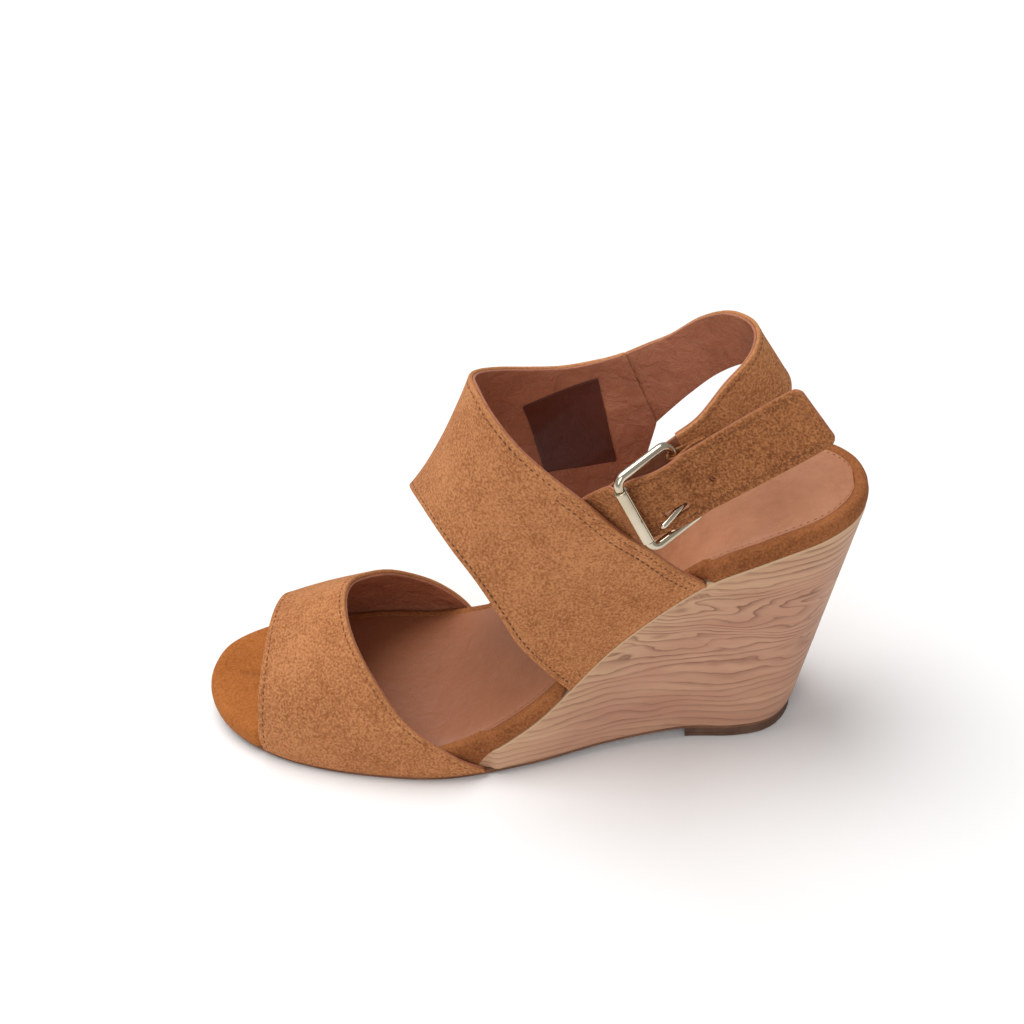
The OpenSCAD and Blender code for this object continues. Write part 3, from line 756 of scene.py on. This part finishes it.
def toe_cap():
    """Suede drawn over the toe end: one smooth dome from edge to edge, over the rim."""
    over = np.array([[0.75, 0.3], [-0.25, 0.3], [-0.72, 1.6], [-0.85, 3.3], [-0.62, 4.9], [0.0, 6.2],
                     [1.0, 7.05], [2.4, 7.5]])
    t_end = stations(0.05, 40.4, 1.1)

    def ring(t, s):
        x = px(t)
        inner = rim_in(x, s)
        low = np.minimum(0, bot_z(t) + SOLE_T + 0.1 - top_z(x))
        d = inner + over[:, 0]
        p = outline(np.full(len(over), t), s, d)
        h = over[:, 1] + np.where(over[:, 1] < 1.0, low, 0)
        side = raised(p, top_z(np.clip(p[:, 0], 0.05, 224)) + h)
        tc = np.array(max(t, 19.0))
        c = mix(outline(tc, -1, rim_in(px(tc), -1) + 4.5), outline(tc, 1, rim_in(px(tc), 1) + 4.5), 0.5)
        f = np.array([0.08, 0.2, 0.4, 0.6, 0.8, 1.0])
        flat = mix(np.tile(p[-1], (6, 1)), np.tile(c, (6, 1)), f)
        top = raised(flat, top_z(flat[:, 0]) + 7.5 + 0.35 * np.sin(f * np.pi / 2))
        base = raised(flat[::-1], top_z(flat[::-1, 0]) + BASE_H - 0.1)
        foot_in = outline(np.full(2, t), s, inner + np.array([1.6, 0.8]))
        close = raised(foot_in, top_z(np.clip(foot_in[:, 0], 0.05, 224)) + np.array([4.9, 3.2]))
        return np.concatenate([side, top, base, close])
    rings = np.array([ring(x, -1) for x in t_end[::-1]] + [ring(x, 1) for x in t_end])
    verts = rings.reshape(-1, 3)
    verts[:, 2] += 0.12 * sway(verts, 5, 2.0)
    build("toe_patch", verts, tube_faces(*rings.shape[:2]), "shoe", SUEDE_TOE, ["toe_wrap"])


toe_cap()
sock_height = BOARD_T + FOAM_T + SOCK_T - 0.12 - SOCK_AT
stitches("sock_stitching",
         [stitch_line(sock, side, SOCK_SEAM, 42, 171, sock_height, pitch=2.5) for side in (0, 1)],
         "shoe", THREAD_SOCK, 1.5, 0.13)


def wrap():
    """Wood-grain wrap: rings across its thickness, from the outer side round the heel to the inner side."""
    levels = np.r_[0, 0.02, np.linspace(0.06, 0.94, 16), 0.985, 1.0]

    def ring(t, s):
        x = px(t)
        d = float(wedge_in(x))
        b = float(bot_z(t)) + SOLE_T + GAP
        out = []
        for depth, order in ((0.0, levels), (WRAP_T, levels[::-1])):
            soft = np.where((order < 0.01) | (order > 0.99), 0.35, 0.0) * (1 if depth == 0 else 0)
            lo = raised(outline(np.full(len(order), t), s, d + depth + soft, True), np.full(len(order), b))
            hi = outline(np.full(len(order), t), s, d + depth + soft)
            hi = raised(hi, top_z(hi[:, 0]))
            out.append(mix(lo, hi, order))
        return np.concatenate(out)
    rings = both_sides(80, 179.4, 1.5, ring)
    m, n = rings.shape[:2]
    half = n // 2
    mid = rings[:, half // 2]
    s = np.r_[0, np.cumsum(np.linalg.norm(np.diff(mid, axis=0), axis=1))]
    depth = (rings[:, half - 1, 2][:, None] - rings[:, :, 2]) / 100
    along = np.stack([np.repeat(s[:, None], n, 1) / 100, rings[:, :, 2] / 100, depth], -1)
    o = build("wedge_wrap_wood", rings.reshape(-1, 3), tube_faces(m, n), "shoe", WOOD,
              ["wedge_wrap"], {"along": along.reshape(-1, 3)})
    crease_sharp(o, 60)


wrap()


def sole():
    def ring(t):
        z = float(bot_z(t))
        prof = [(1.5, 0.0), (1.05, 0.12), (0.9, 0.45), (0.9, 1.4), (1.0, 1.72), (1.4, SOLE_T)]
        up = [(t, d, z + h) for d, h in prof]
        lo = np.array([np.r_[outline(np.array(a), -1, np.array(d), True), h] for a, d, h in up])
        hi = np.array([np.r_[outline(np.array(a), 1, np.array(d), True), h] for a, d, h in up])
        w = np.linspace(0, 1, 14)[1:-1, None]
        under = hi[0] + (lo[0] - hi[0]) * w
        over = lo[-1] + (hi[-1] - lo[-1]) * w
        return np.concatenate([lo, over, hi[::-1], under])
    t = stations(3, 178.6, 1.8)
    rings = np.array([ring(x) for x in t])
    m, n = rings.shape[:2]
    faces = tube_faces(m, n, caps=False)
    faces += [list(range(n)), list(range((m - 1) * n, m * n))]
    o = build("outsole_edge", rings.reshape(-1, 3), faces, "shoe", SOLE, ["outsole"])
    crease_sharp(o, 50)


sole()


def heel_lift():
    t = np.r_[121, stations(121.5, 178.5, 1.4)]
    prof = [(1.9, 0.0), (1.45, 0.08), (1.2, 0.4), (1.2, 1.55), (1.38, 1.7), (1.2, 1.85), (1.2, 3.6),
            (1.35, 3.86)]
    loops = []
    for d, h in prof:
        lo = outline(t, -1, np.full(len(t), d), True)
        hi = outline(t, 1, np.full(len(t), d), True)[::-1]
        p = np.concatenate([lo, hi])
        p[:, 0] += (d - 1.2) * (p[:, 0] < p[:, 0].min() + 0.5)
        loops.append(raised(p, np.full(len(p), h)))
    rings = np.array(loops)
    m, n = rings.shape[:2]
    o = build("heel_top_lift", rings.reshape(-1, 3), tube_faces(m, n), "shoe", LIFT,
              ["heel_lift"], {"worn": np.repeat(np.array([1, 0.9, 0.3, 0, 0, 0, 0, 0.2]), n)})
    crease_sharp(o, 35)


heel_lift()

# ---------------------------------------------------------------- straps
STRAP_D = OUTER_T + 0.1


def fall(v, reach):
    """Weight that falls from 1 at v = 0 to 0 at v = reach."""
    return np.clip(1 - v / reach, 0, 1) ** 1.6


def foot(r, u, s, low):
    """Line on side s of the outline where a strap ends: at the sole if low, else at the wedge's top."""
    x = r[0] + (r[1] - r[0]) * u
    p = outline(ang(x), s, np.full(np.shape(x), STRAP_D))
    return raised(p, 0.35 + (bot_z(ang(x)) + SOLE_T if low else top_z(p[..., 0])))


TOE_FRONT = np.array([[20, -26.2, 3.2], [19.3, -27, 9], [19.6, -26.2, 15.5], [20.3, -24.4, 22], [21, -21, 27],
                      [22, -16, 31.5], [23, -9, 35], [24, -1, 37], [25, 7, 36.8], [26, 14, 34.5],
                      [26.2, 20, 30], [25.6, 24.5, 24], [24.3, 27.3, 16.5], [22.5, 28, 9.5], [21, 27.5, 3.2]])
TOE_REAR = np.array([[98, -38.5, 3.5], [90, -40.8, 9.5], [78, -40, 19], [70.5, -37.8, 26], [63.8, -33.2, 35],
                     [57.3, -26, 43.5], [53, -17, 49], [51.2, -6, 51.2], [52.2, 4, 49.6], [56, 12, 46],
                     [62.9, 20, 41], [70.5, 27, 33.5], [79.3, 32.5, 24.6], [88, 35, 14.5], [95.5, 33.8, 3.5]])


def on_feet(u, v, front, rear, rear_ends, lat, med, low, reach):
    """Strap surface between its front and rear edges, both ends led onto the shoe's outline."""
    a = foot(lat, u, -1, low) - mix(front[0], rear_ends[0], u)
    b = foot(med, u, 1, low) - mix(front[-1], rear_ends[1], u)
    return (mix(curve(front, v), rear, u)
            + fall(v, reach)[..., None] * a + fall(1 - v, reach)[..., None] * b)


def toe(u, v):
    return on_feet(u, v, TOE_FRONT, curve(TOE_REAR, v), TOE_REAR[[0, -1]], TOE_BAND, (21, 95.5), True, 0.5)


BAND_FRONT = np.array([[126.5, -30.8, 33.5], [120.5, -33.2, 42], [111, -34.6, 55.5], [104.5, -33.6, 68.5],
                       [98, -30.6, 79.5], [91.5, -25.6, 87], [85.5, -17.5, 91.4], [80, -6, 91.7],
                       [76.4, 4, 89], [75, 11, 85.4], [76, 18, 79.5], [80, 24.5, 71], [87, 29, 61],
                       [96, 31.5, 50], [106, 31.4, 38.5], [117, 28, 24.5]])
BAND_CREST = np.array([[171.8, -24.3, 71], [163, -28.2, 80.3], [153.5, -30.8, 91.3], [144.2, -32.4, 100.4],
                       [134.5, -33, 111.5], [123, -31.4, 122], [113, -27, 130.4], [105, -19, 137.3],
                       [100, -9, 140.9], [98.7, -1, 139], [100.8, 7, 135.2], [107, 16, 129.5],
                       [116, 23.5, 124], [127, 27.6, 121.4], [137.5, 29.8, 122], [147, 30, 125]])
BAND_HEEL = np.array([[157, 26, 100], [153.5, 26.2, 86], [150, 26, 70], [148, 25.6, 54]])
SEAM_AT = len(BAND_CREST) - 1
BAND_STEPS = SEAM_AT + len(BAND_HEEL)
SEAM_V0, SEAM_V1 = SEAM_AT / BAND_STEPS, (SEAM_AT + 1) / BAND_STEPS


def band_rear(v):
    k = v * BAND_STEPS
    seam = mix(BAND_CREST[-1], BAND_HEEL[0], np.clip(k - SEAM_AT, 0, 1))
    out = np.where((k <= SEAM_AT)[..., None], at(BAND_CREST, np.minimum(k, SEAM_AT)), seam)
    return np.where((k > SEAM_AT + 1)[..., None], at(BAND_HEEL, np.maximum(k - SEAM_AT - 1, 0)), out)


def band(u, v):
    ends = BAND_CREST[0], BAND_HEEL[-1]
    return on_feet(u, v, BAND_FRONT, band_rear(v), ends, LAT_BAND, MED_BAND, False, 0.3)


def soft(scale, depth, seed):
    return lambda p: depth * sway(p, scale, seed)


def strap(name, surf, out, step, across, seams, grooves, relief, end=False, thread_look=THREAD_TAN):
    """Suede and leather strips back to back over one surface and the threads that sew them.
    seams and grooves are (side, distance, v from, v to) of the threads and of the dents they lie in."""
    ribbon(name + "_suede", surf, 0, 1, LAYER_GAP, OUTER_T, "shoe", "suede", SUEDE, [name + "_outer"],
           out=out, rnd=0.45, ends=(False, end), step=step[0], across=across[0], grooves=grooves,
           relief=relief)
    ribbon(name + "_leather", surf, 0, 1, -LINING_T, 0.0, "shoe", "lining_leather", LINING,
           [name + "_lining"], out=out, rnd=0.35, ends=(False, end), step=step[1], across=across[1])
    lines = [stitch_line(surf, *seam, OUTER_T - STITCH_SINK, out, 2.35) for seam in seams]
    stitches(name + "_stitching", lines, "shoe", thread_look)


LAYER_GAP, STITCH_SINK, SEAM_IN = 0.02, 0.12, 2.0
EDGE_SEAMS = [(0, SEAM_IN, 0.02, 0.98), (1, SEAM_IN, 0.02, 0.98)]
EDGE_GROOVES = [(0, SEAM_IN, 0, 1), (1, SEAM_IN, 0, 1)]
strap("toe_strap", toe, -1, (1.1, 1.4), (1.5, 1.8), EDGE_SEAMS, EDGE_GROOVES, soft(8, 0.10, 1.0))

# instep band: one row along the front and the crest, two down the outer rear edge and at the inner seam
ROW_2 = (1, 5.0, 0.015, 0.245)
strap("band", band, -1, (1.15, 1.5), (1.7, 2.0),
      [EDGE_SEAMS[0], (1, SEAM_IN, 0.012, 0.985), ROW_2, (1, 4.6, SEAM_V0 + 0.004, SEAM_V1 - 0.004)],
      [EDGE_SEAMS[0], (1, SEAM_IN, 0.0, 1.0), ROW_2, (1, 4.6, SEAM_V0, SEAM_V1)],
      soft(11, 0.14, 2.0), thread_look=THREAD_DARK)

LABEL_UV = np.array([[0.7, 0.685], [0.86, 0.785], [0.8, 0.872], [0.44, 0.83]])
LABEL_PTS = band(LABEL_UV[:, 0], LABEL_UV[:, 1])
LABEL_NRM = unit(np.cross(LABEL_PTS[2] - LABEL_PTS[0], LABEL_PTS[3] - LABEL_PTS[1]))
LABEL_E1 = unit(np.cross(LABEL_NRM, [0.3, 0.1, 1.0]))
LABEL_E2 = np.cross(LABEL_NRM, LABEL_E1)


def label(u, v):
    """Straight-edged patch laid on the band: a flat four-sided sheet dropped along its own normal."""
    flat = mix(mix(LABEL_PTS[0], LABEL_PTS[1], u), mix(LABEL_PTS[3], LABEL_PTS[2], u), v)
    w = mix(mix(LABEL_UV[0], LABEL_UV[1], u), mix(LABEL_UV[3], LABEL_UV[2], u), v)
    a, b, h = w[..., 0], w[..., 1], 1e-4
    for _ in range(8):
        miss = flat - band(a, b)
        da = (band(a + h, b) - band(a - h, b)) / (2 * h)
        db = (band(a, b + h) - band(a, b - h)) / (2 * h)
        a1, a2, b1, b2, m1, m2 = (x @ e for x in (da, db, miss) for e in (LABEL_E1, LABEL_E2))
        det = a1 * b2 - b1 * a2
        a, b = a + (b2 * m1 - b1 * m2) / det, b + (a1 * m2 - a2 * m1) / det
    return band(a, b)


half_way = np.array(0.5)
outward = 1 if np.dot(normals(label, half_way, half_way), (0, -1, 0)) > 0 else -1
ribbon("lining_patch", label, 0, 1, LINING_T + 0.04, LINING_T + 0.55, "shoe", "label_leather", LABEL,
       ["lining_label"], out=outward, rnd=0.22, ends=(True, True), corner=0.6, step=1.0, across=1.4)

# ---------------------------------------------------------------- buckle frame of reference
WIRE_R, RUN, CORNER_R, BUCKLE_L, BUCKLE_W = 1.5, 0.05, 3.3, 20.5, 28.0
ROLLER_LEN, PRONG_Y, PRONG_LIFT = 20.5, 5.5, 22.0
CORE_R = WIRE_R - 0.3
HALF = BUCKLE_W / 2
HINGE = np.array([164.8, -31, 120.4])
FWD = unit([-0.79, -0.53, -0.32])
WID0 = np.array([-0.41, 0.05, 0.91])
WID = unit(WID0 - (WID0 @ FWD) * FWD)
NRM = np.cross(WID, FWD)
CHAPE_T, CHAPE_W, CHAPE_TILT = 1.1, 19.2, 21.0
LOOP_R = WIRE_R + RUN + CHAPE_T
c_tilt, s_tilt = math.cos(math.radians(CHAPE_TILT)), math.sin(math.radians(CHAPE_TILT))
TAIL_DIR = -c_tilt * FWD + s_tilt * NRM
TAIL_NRM = c_tilt * NRM + s_tilt * FWD


def buck(x, n, w):
    return HINGE + x * FWD + n * NRM + w * WID


def local(p, tilt=0.0):
    """Buckle-local points (x, y, n), turned about the hinge bar by tilt degrees, to design millimetres."""
    p = np.asarray(p, float)
    c, s = math.cos(math.radians(tilt)), math.sin(math.radians(tilt))
    x, y, n = p[..., 0] * c + p[..., 2] * s, p[..., 1], -p[..., 0] * s + p[..., 2] * c
    return HINGE + x[..., None] * FWD - y[..., None] * WID + n[..., None] * NRM


SLING_DROP = LOOP_R + 0.3 + OUTER_T


def rest(s, w):
    return HINGE + s * TAIL_DIR + w * WID - SLING_DROP * TAIL_NRM


SEAM_GAP = 0.05 * unit([0.9, -0.1, 0.4])
SLING_TOP = np.array([BAND_CREST[-1] + SEAM_GAP, [154, 30, 128.4], [161.4, 28.7, 132.8], [170.5, 24.5, 141.8],
                      [178.6, 18.5, 148], [184.3, 11, 151], [187.2, 3, 152.4], [186.8, -5, 152],
                      [183.5, -12, 150.2], [177, -18, 146.2], rest(12, 15), rest(3, 13)])
SLING_LOW = np.array([BAND_HEEL[0] + SEAM_GAP, [162, 25.8, 105.5], [168, 25.2, 112], [176.3, 23.5, 120.5],
                      [185, 18.7, 128.2], [192, 11.5, 132.5], [196.8, 3, 134.3], [197.6, -6, 133.8],
                      [194.5, -14, 131], [187.5, -20, 125], rest(12, -8.5), rest(3, -9)])


def sling(u, v):
    return mix(curve(SLING_TOP, v), curve(SLING_LOW, v), u)


strap("heel_strap", sling, 1, (1.1, 1.3), (1.5, 1.6), EDGE_SEAMS, EDGE_GROOVES, soft(9, 0.12, 3.0),
      end=True)

GUARD_TOP = np.array([rest(4.4, 12.6), [154.5, -26.9, 126.6], [148, -27.8, 121.3], [142.5, -28.4, 116.6],
                      [138.5, -28.7, 112.6], [138.6, -28.8, 108.6]])
GUARD_LOW = np.array([rest(4.4, -8.6), [163.5, -28, 108], [157, -28.6, 104], [150.5, -28.9, 101.6],
                      [145, -28.9, 102], [141.5, -28.9, 105]])


def guard(u, v):
    return mix(curve(GUARD_TOP, v), curve(GUARD_LOW, v), u)


ribbon("buckle_guard_leather", guard, 0, 1, 0.2 - 1.2, 0.2, "shoe", "lining_leather", GUARD, ["buckle_guard"],
       rnd=0.5, ends=(False, True), corner=3.0, step=1.0, across=1.4, relief=soft(6, 0.15, 4.0))

# ---------------------------------------------------------------- chape
FOLD_R = 2.1
CHAPE_PATH = np.array([[-11, -FOLD_R], [-7, -FOLD_R], [-3, -FOLD_R], [0, -FOLD_R]]
                      + [[FOLD_R * math.sin(a), -FOLD_R * math.cos(a)]
                         for a in np.radians([30, 60, 90, 120, 150])]
                      + [[0, 2.08], [-1.6, 1.75], [-3.6, 0.6], [-5.6, -0.55], [-7.4, -0.98], [-9.2, -1.0],
                         [-11, -1.0]])


def chape_strip(y0, y1):
    def f(u, v):
        p = curve(CHAPE_PATH, v)
        return local(np.stack([p[..., 0], y0 + (y1 - y0) * u, p[..., 1]], -1), CHAPE_TILT)
    return f


def join(name, parts, body, material, replaces=()):
    """Several vertex and face sets as one piece."""
    verts, faces, attrs, base = [], [], {}, 0
    for v, f, a in parts:
        verts.append(v)
        faces += [[i + base for i in face] for face in f]
        for key, value in a.items():
            attrs.setdefault(key, []).append(value)
        base += len(v)
    return build(name, np.concatenate(verts), faces, body, material, replaces,
                 {key: np.concatenate(value) for key, value in attrs.items()})


SLOT_LOW, SLOT_HIGH = PRONG_Y - 1.7, PRONG_Y + 1.7
SLOT_LAP, CHAPE_HALF = 0.4, CHAPE_T / 2
LEG, BRIDGE = dict(rnd=0.35, step=0.8), dict(rnd=0.3, step=0.9, across=1.0)
CHAPE_STRIPS = [
    (-CHAPE_W / 2, SLOT_LOW, 0, 1, 0.02, dict(LEG, across=1.4, relief=soft(4, 0.06, 5.0))),
    (SLOT_HIGH, CHAPE_W / 2, 0, 1, 0.02, dict(LEG, across=0.8)),
    (SLOT_LOW - SLOT_LAP, SLOT_HIGH + SLOT_LAP, 0.0, 0.30, 0.05, BRIDGE),
    (SLOT_LOW - SLOT_LAP, SLOT_HIGH + SLOT_LAP, 0.80, 1.0, 0.05, BRIDGE)]
join("buckle_loop_suede",
     [ribbon_mesh(chape_strip(y0, y1), v0, v1, thin - CHAPE_HALF, CHAPE_HALF - thin, ends=(True, True), **kw)
      for y0, y1, v0, v1, thin, kw in CHAPE_STRIPS], "shoe", SUEDE_TAB, ["buckle_chape"])


# ---------------------------------------------------------------- buckle metal
def tube(path, side, up, wide, thick, n):
    """Rings of n points along a path: half width wide along side, half height thick along up."""
    a = np.linspace(0, 2 * np.pi, n, endpoint=False)[None, :, None]
    return (path[:, None] + side[:, None] * (np.cos(a) * wide[:, None, None])
            + up[:, None] * (np.sin(a) * thick[:, None, None]))


def frame_path():
    """Closed centre line of the frame, hinge bar at x = 0, roller bar at x = BUCKLE_L."""
    pts = []
    straight = HALF - CORNER_R
    corners = [(CORNER_R, straight, 90, 180), (CORNER_R, -straight, 180, 270),
               (BUCKLE_L - CORNER_R, -straight, 270, 360), (BUCKLE_L - CORNER_R, straight, 0, 90)]
    for i, (cx, cy, a0, a1) in enumerate(corners):
        for a in np.radians(np.linspace(a0, a1, 15)):
            pts.append((cx + CORNER_R * math.cos(a), cy + CORNER_R * math.sin(a), 0.0))
        x0, y0, _ = pts[-1]
        nx = corners[(i + 1) % 4]
        x1 = nx[0] + CORNER_R * math.cos(math.radians(nx[2]))
        y1 = nx[1] + CORNER_R * math.sin(math.radians(nx[2]))
        steps = [0.02, 0.04, 0.2, 0.4, 0.6, 0.8, 0.96, 0.98]
        pts += [(x0 + (x1 - x0) * f, y0 + (y1 - y0) * f, 0.0) for f in steps]
    return np.array(pts)


N_WIRE, N_ROUND = 28, 20
path = frame_path()
under_roller = (path[:, 0] > BUCKLE_L - 0.01) & (np.abs(path[:, 1]) < HALF - CORNER_R - 0.3)
radius = np.where(under_roller, CORE_R, WIRE_R - 0.01)
tangent = unit(np.roll(path, -1, 0) - np.roll(path, 1, 0))
side = unit(np.cross(tangent, (0, 0, 1)))
rings = tube(path, side, unit(np.cross(side, tangent)), radius, radius, N_WIRE)
build("buckle_frame_wire", local(rings).reshape(-1, 3), tube_faces(len(path), N_WIRE, loop=True), "frame",
      METAL, ["buckle_frame"])


SLEEVE_R, SLEEVE_SEAM = 1.7, 118


def roller_sleeve(u, v):
    """Sleeve rolled from sheet: a lengthwise seam on the outer side, u round the bar, v along it."""
    a = np.radians(SLEEVE_SEAM + 3 + 354 * u)
    x, z = BUCKLE_L + SLEEVE_R * np.cos(a), SLEEVE_R * np.sin(a)
    return local(np.stack([x, (v - 0.5) * ROLLER_LEN, z], -1))


away = roller_sleeve(half_way, half_way) - buck(BUCKLE_L, 0, 0)
outward = 1 if np.dot(normals(roller_sleeve, half_way, half_way), away) > 0 else -1
ribbon("roller_sleeve", roller_sleeve, 0, 1, -0.43, 0.48, "roller", "buckle_metal", METAL, ["buckle_roller"],
       out=outward, rnd=0.2, ends=(True, True), step=1.5, across=0.28)

PRONG_PATH = np.array([[17.6, -0.35], [15, -0.15], [12, 0.08], [9, 0.3], [6, 0.62], [4.2, 0.98], [2.9, 1.4],
                       [1.5, 1.83], [0, 2.06], [-1.46, 1.46], [-2.06, 0], [-1.46, -1.46], [0, -2.06],
                       [1.3, -1.72], [2.15, -1.15]])
N_PRONG = 90


def prong():
    """Bar flattened where it wraps the hinge bar, rounded at the tip."""
    c = curve(PRONG_PATH, np.linspace(0, 1, N_PRONG))
    far = np.clip((c[:, 0] - 1.5) / 3.5, 0, 1)
    tip = np.clip(np.arange(N_PRONG) / 6.0, 0, 1)
    tip = np.sqrt(np.clip(1 - (1 - tip) ** 2, 0.02, 1))
    thick = (0.52 + (1.06 - 0.52) * far) * tip
    wide = (1.22 + (1.08 - 1.22) * far) * tip
    p = np.stack([c[:, 0], np.full(N_PRONG, PRONG_Y), c[:, 1]], -1)
    across_axis = np.array([0, 1.0, 0])
    lift_axis = unit(np.cross(unit(np.gradient(p, axis=0)), across_axis))
    rings = tube(p, across_axis[None], lift_axis, wide, thick, N_ROUND)
    build("buckle_prong_wire", local(rings, -PRONG_LIFT).reshape(-1, 3), tube_faces(N_PRONG, N_ROUND),
          "prong", METAL, ["buckle_prong"])


prong()

# ---------------------------------------------------------------- closure tab and its free tail
UNDER_DIR = np.array([-0.66, 0, 0.75])
TAIL_L = 48.9
TAIL_T = unit([35.6, -8.2, 31])
TAIL_C = unit([-0.573, 0.336, 0.745])
OVER_BAR = buck(0, 4.7, -0.6)


def tail_mid(s):
    return OVER_BAR + np.asarray(s, float)[..., None] * TAIL_T


TAB_MID = np.array([[131, -29.6, 95.5], [136, -29.4, 99.7], [140.5, -29.9, 103.8], [143.6, -32.3, 107.3],
                    [145.8, -35.8, 110.6], buck(20.5, -4.2, -2.2), buck(16.8, -2.7, -1.2),
                    buck(13.4, 0.2, -0.7), buck(9.6, 3.0, -0.6), buck(4.8, 4.45, -0.6), OVER_BAR,
                    tail_mid(4)])
TAB_ACROSS = np.array([UNDER_DIR] * 3 + [mix(UNDER_DIR, WID, 0.4), mix(UNDER_DIR, WID, 0.8)] + [WID] * 5
                      + [mix(WID, TAIL_C, 0.1), mix(WID, TAIL_C, 0.2)])
TAB_FACE, TAB_LINING_T = 1.1 - 0.16, 0.8
TAB_SEAM, TAB_END_SEAM = 2.2, 2.4
TAIL_PART = 0.45
TAB_V_MM = 105.0        # about the length that v 0 to 1 stands for


def tab(u, v):
    """v 0 to 1 - TAIL_PART is the tab up to 4 mm past the hinge bar, the rest is the straight tail."""
    k = np.minimum(v / (1 - TAIL_PART), 1.0)
    s = np.maximum(v - (1 - TAIL_PART), 0) / TAIL_PART * (TAIL_L - 4)
    mid = np.where((s > 0)[..., None], tail_mid(4 + s), curve(TAB_MID, k))
    turn = np.minimum(1.0, 0.2 + s / TAIL_L * 1.1)
    c = unit(np.where((s > 0)[..., None], mix(WID, TAIL_C, turn), curve(TAB_ACROSS, k)))
    w = TAB_W * (1 - 0.06 * (4 + s) / TAIL_L * (s > 0))
    return mid + (0.5 - u)[..., None] * w[..., None] * c


def cut(o, cutters):
    """Takes closed cutter shapes out of a piece."""
    for verts, faces in cutters:
        me = bpy.data.meshes.new("cutter")
        me.from_pydata(row(verts).tolist(), [], faces)
        face_outward(me)
        tool = bpy.data.objects.new("cutter", me)
        scene.collection.objects.link(tool)
        mod = o.modifiers.new("cut", "BOOLEAN")
        mod.operation = "DIFFERENCE"
        mod.solver = "EXACT"
        mod.object = tool
        bpy.context.view_layer.update()
        new = bpy.data.meshes.new_from_object(o.evaluated_get(bpy.context.evaluated_depsgraph_get()))
        o.modifiers.clear()
        old = o.data
        o.data = new
        bpy.data.meshes.remove(old)
        bpy.data.objects.remove(tool)
        bpy.data.meshes.remove(me)


def prism(outline_pts, axis, centre, side, up, depth):
    """Closed prism cutter around centre, its outline in the plane of side and up."""
    ring = [centre + side * x + up * y for x, y in outline_pts]
    n = len(ring)
    verts = np.array([q - axis * depth for q in ring] + [q + axis * depth for q in ring])
    walls = [[i, (i + 1) % n, n + (i + 1) % n, n + i] for i in range(n)]
    return verts, [list(range(n)), list(range(n, 2 * n))] + walls


TAIL_N = unit(np.cross(TAIL_C, TAIL_T))
HOLE_R, HOLE_S, HOLE_LOW = 1.1, 6.6, 1.5
circle = [(HOLE_R * math.cos(a), HOLE_R * math.sin(a)) for a in np.linspace(0, 2 * np.pi, 28, endpoint=False)]
punch = prism(circle, TAIL_N, tail_mid(np.array(HOLE_S)) - HOLE_LOW * TAIL_C, TAIL_T, TAIL_C, 6)
SHEET_TILT = 25.0
c_s, s_s = math.cos(math.radians(SHEET_TILT)), math.sin(math.radians(SHEET_TILT))


def slot_cut(length, radius, x, n):
    """Cutter for the prong's slot, long enough for the prong's swing."""
    end = length / 2 - radius
    shape = ([(end + radius * math.cos(a), radius * math.sin(a)) for a in np.radians(range(-90, 91, 15))]
             + [(-end - radius * math.cos(a), -radius * math.sin(a)) for a in np.radians(range(-90, 91, 15))])
    return prism(shape, NRM * c_s + FWD * s_s, buck(x, n, -PRONG_Y), FWD * c_s - NRM * s_s, -WID, 3.2)


edges = [(0, TAB_SEAM, 0.0, 1.0), (1, TAB_SEAM, 0.0, 1.0), (2, TAB_END_SEAM, 0.8, 1.0)]
tab_suede = ribbon("closure_tab_suede", tab, 0, 1, 0.02, TAB_FACE, None, "suede", SUEDE_TAB,
                   ["tab_outer", "tail_outer"], out=-1, rnd=0.5, ends=(False, True), corner=3.0, step=0.9,
                   across=1.1, grooves=edges, belly=0.04, relief=soft(6, 0.07, 6.0))
tab_leather = ribbon("closure_tab_leather", tab, 0, 1, -TAB_LINING_T, 0.0, None, "lining_leather", LINING,
                     ["tab_lining", "tail_lining"], out=-1, rnd=0.35, ends=(False, True), corner=3.0,
                     step=1.0, across=1.3)
cut(tab_suede, [punch, slot_cut(8.4, 1.55, 8.5, 3.5)])
cut(tab_leather, [punch, slot_cut(9.8, 1.7, 7.8, 3.7)])


def tail_end_row():
    """Stitches across the tail, a seam's distance before its free end."""
    u = np.linspace(0.12, 0.88, 60)
    v = np.full(60, 1 - TAB_END_SEAM / TAB_V_MM)
    nor = -normals(tab, u, v)
    return space_out(tab(u, v) + nor * TAB_FACE, nor, 2.4)


tab_thread = stitches("closure_tab_stitching",
                      [stitch_line(tab, side, TAB_SEAM, 0.18, 0.975, TAB_FACE + 0.02, -1, 2.4)
                       for side in (0, 1)] + [tail_end_row()], None, THREAD_TAB, 1.7, 0.17)
BEND_START, BEND_END = (tail_mid(np.array(s)) - 1.5 * TAIL_N for s in (1.0, 9.0))
for piece in (tab_suede, tab_leather, tab_thread):
    tuple(row(BEND_START))
    tuple(row(BEND_END))
    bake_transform(piece)

# ---------------------------------------------------------------- floor
floor_mesh = bpy.data.meshes.new("floor")
floor_mesh.from_pydata([(-4, -4, 0), (4, -4, 0), (4, 4, 0), (-4, 4, 0)], [], [(0, 1, 2, 3)])
floor = bpy.data.objects.new("floor", floor_mesh)
scene.collection.objects.link(floor)
floor_look = Look("floor_paper", rough=0.9, spec=0.1)
floor_mesh.materials.append(floor_look.done(linear((250, 250, 250))))
floor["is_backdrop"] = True


def corners(b):
    return [[float(x) for x in p] for p in b]


{"cad": corners(cad_box), "visual": corners(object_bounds())}
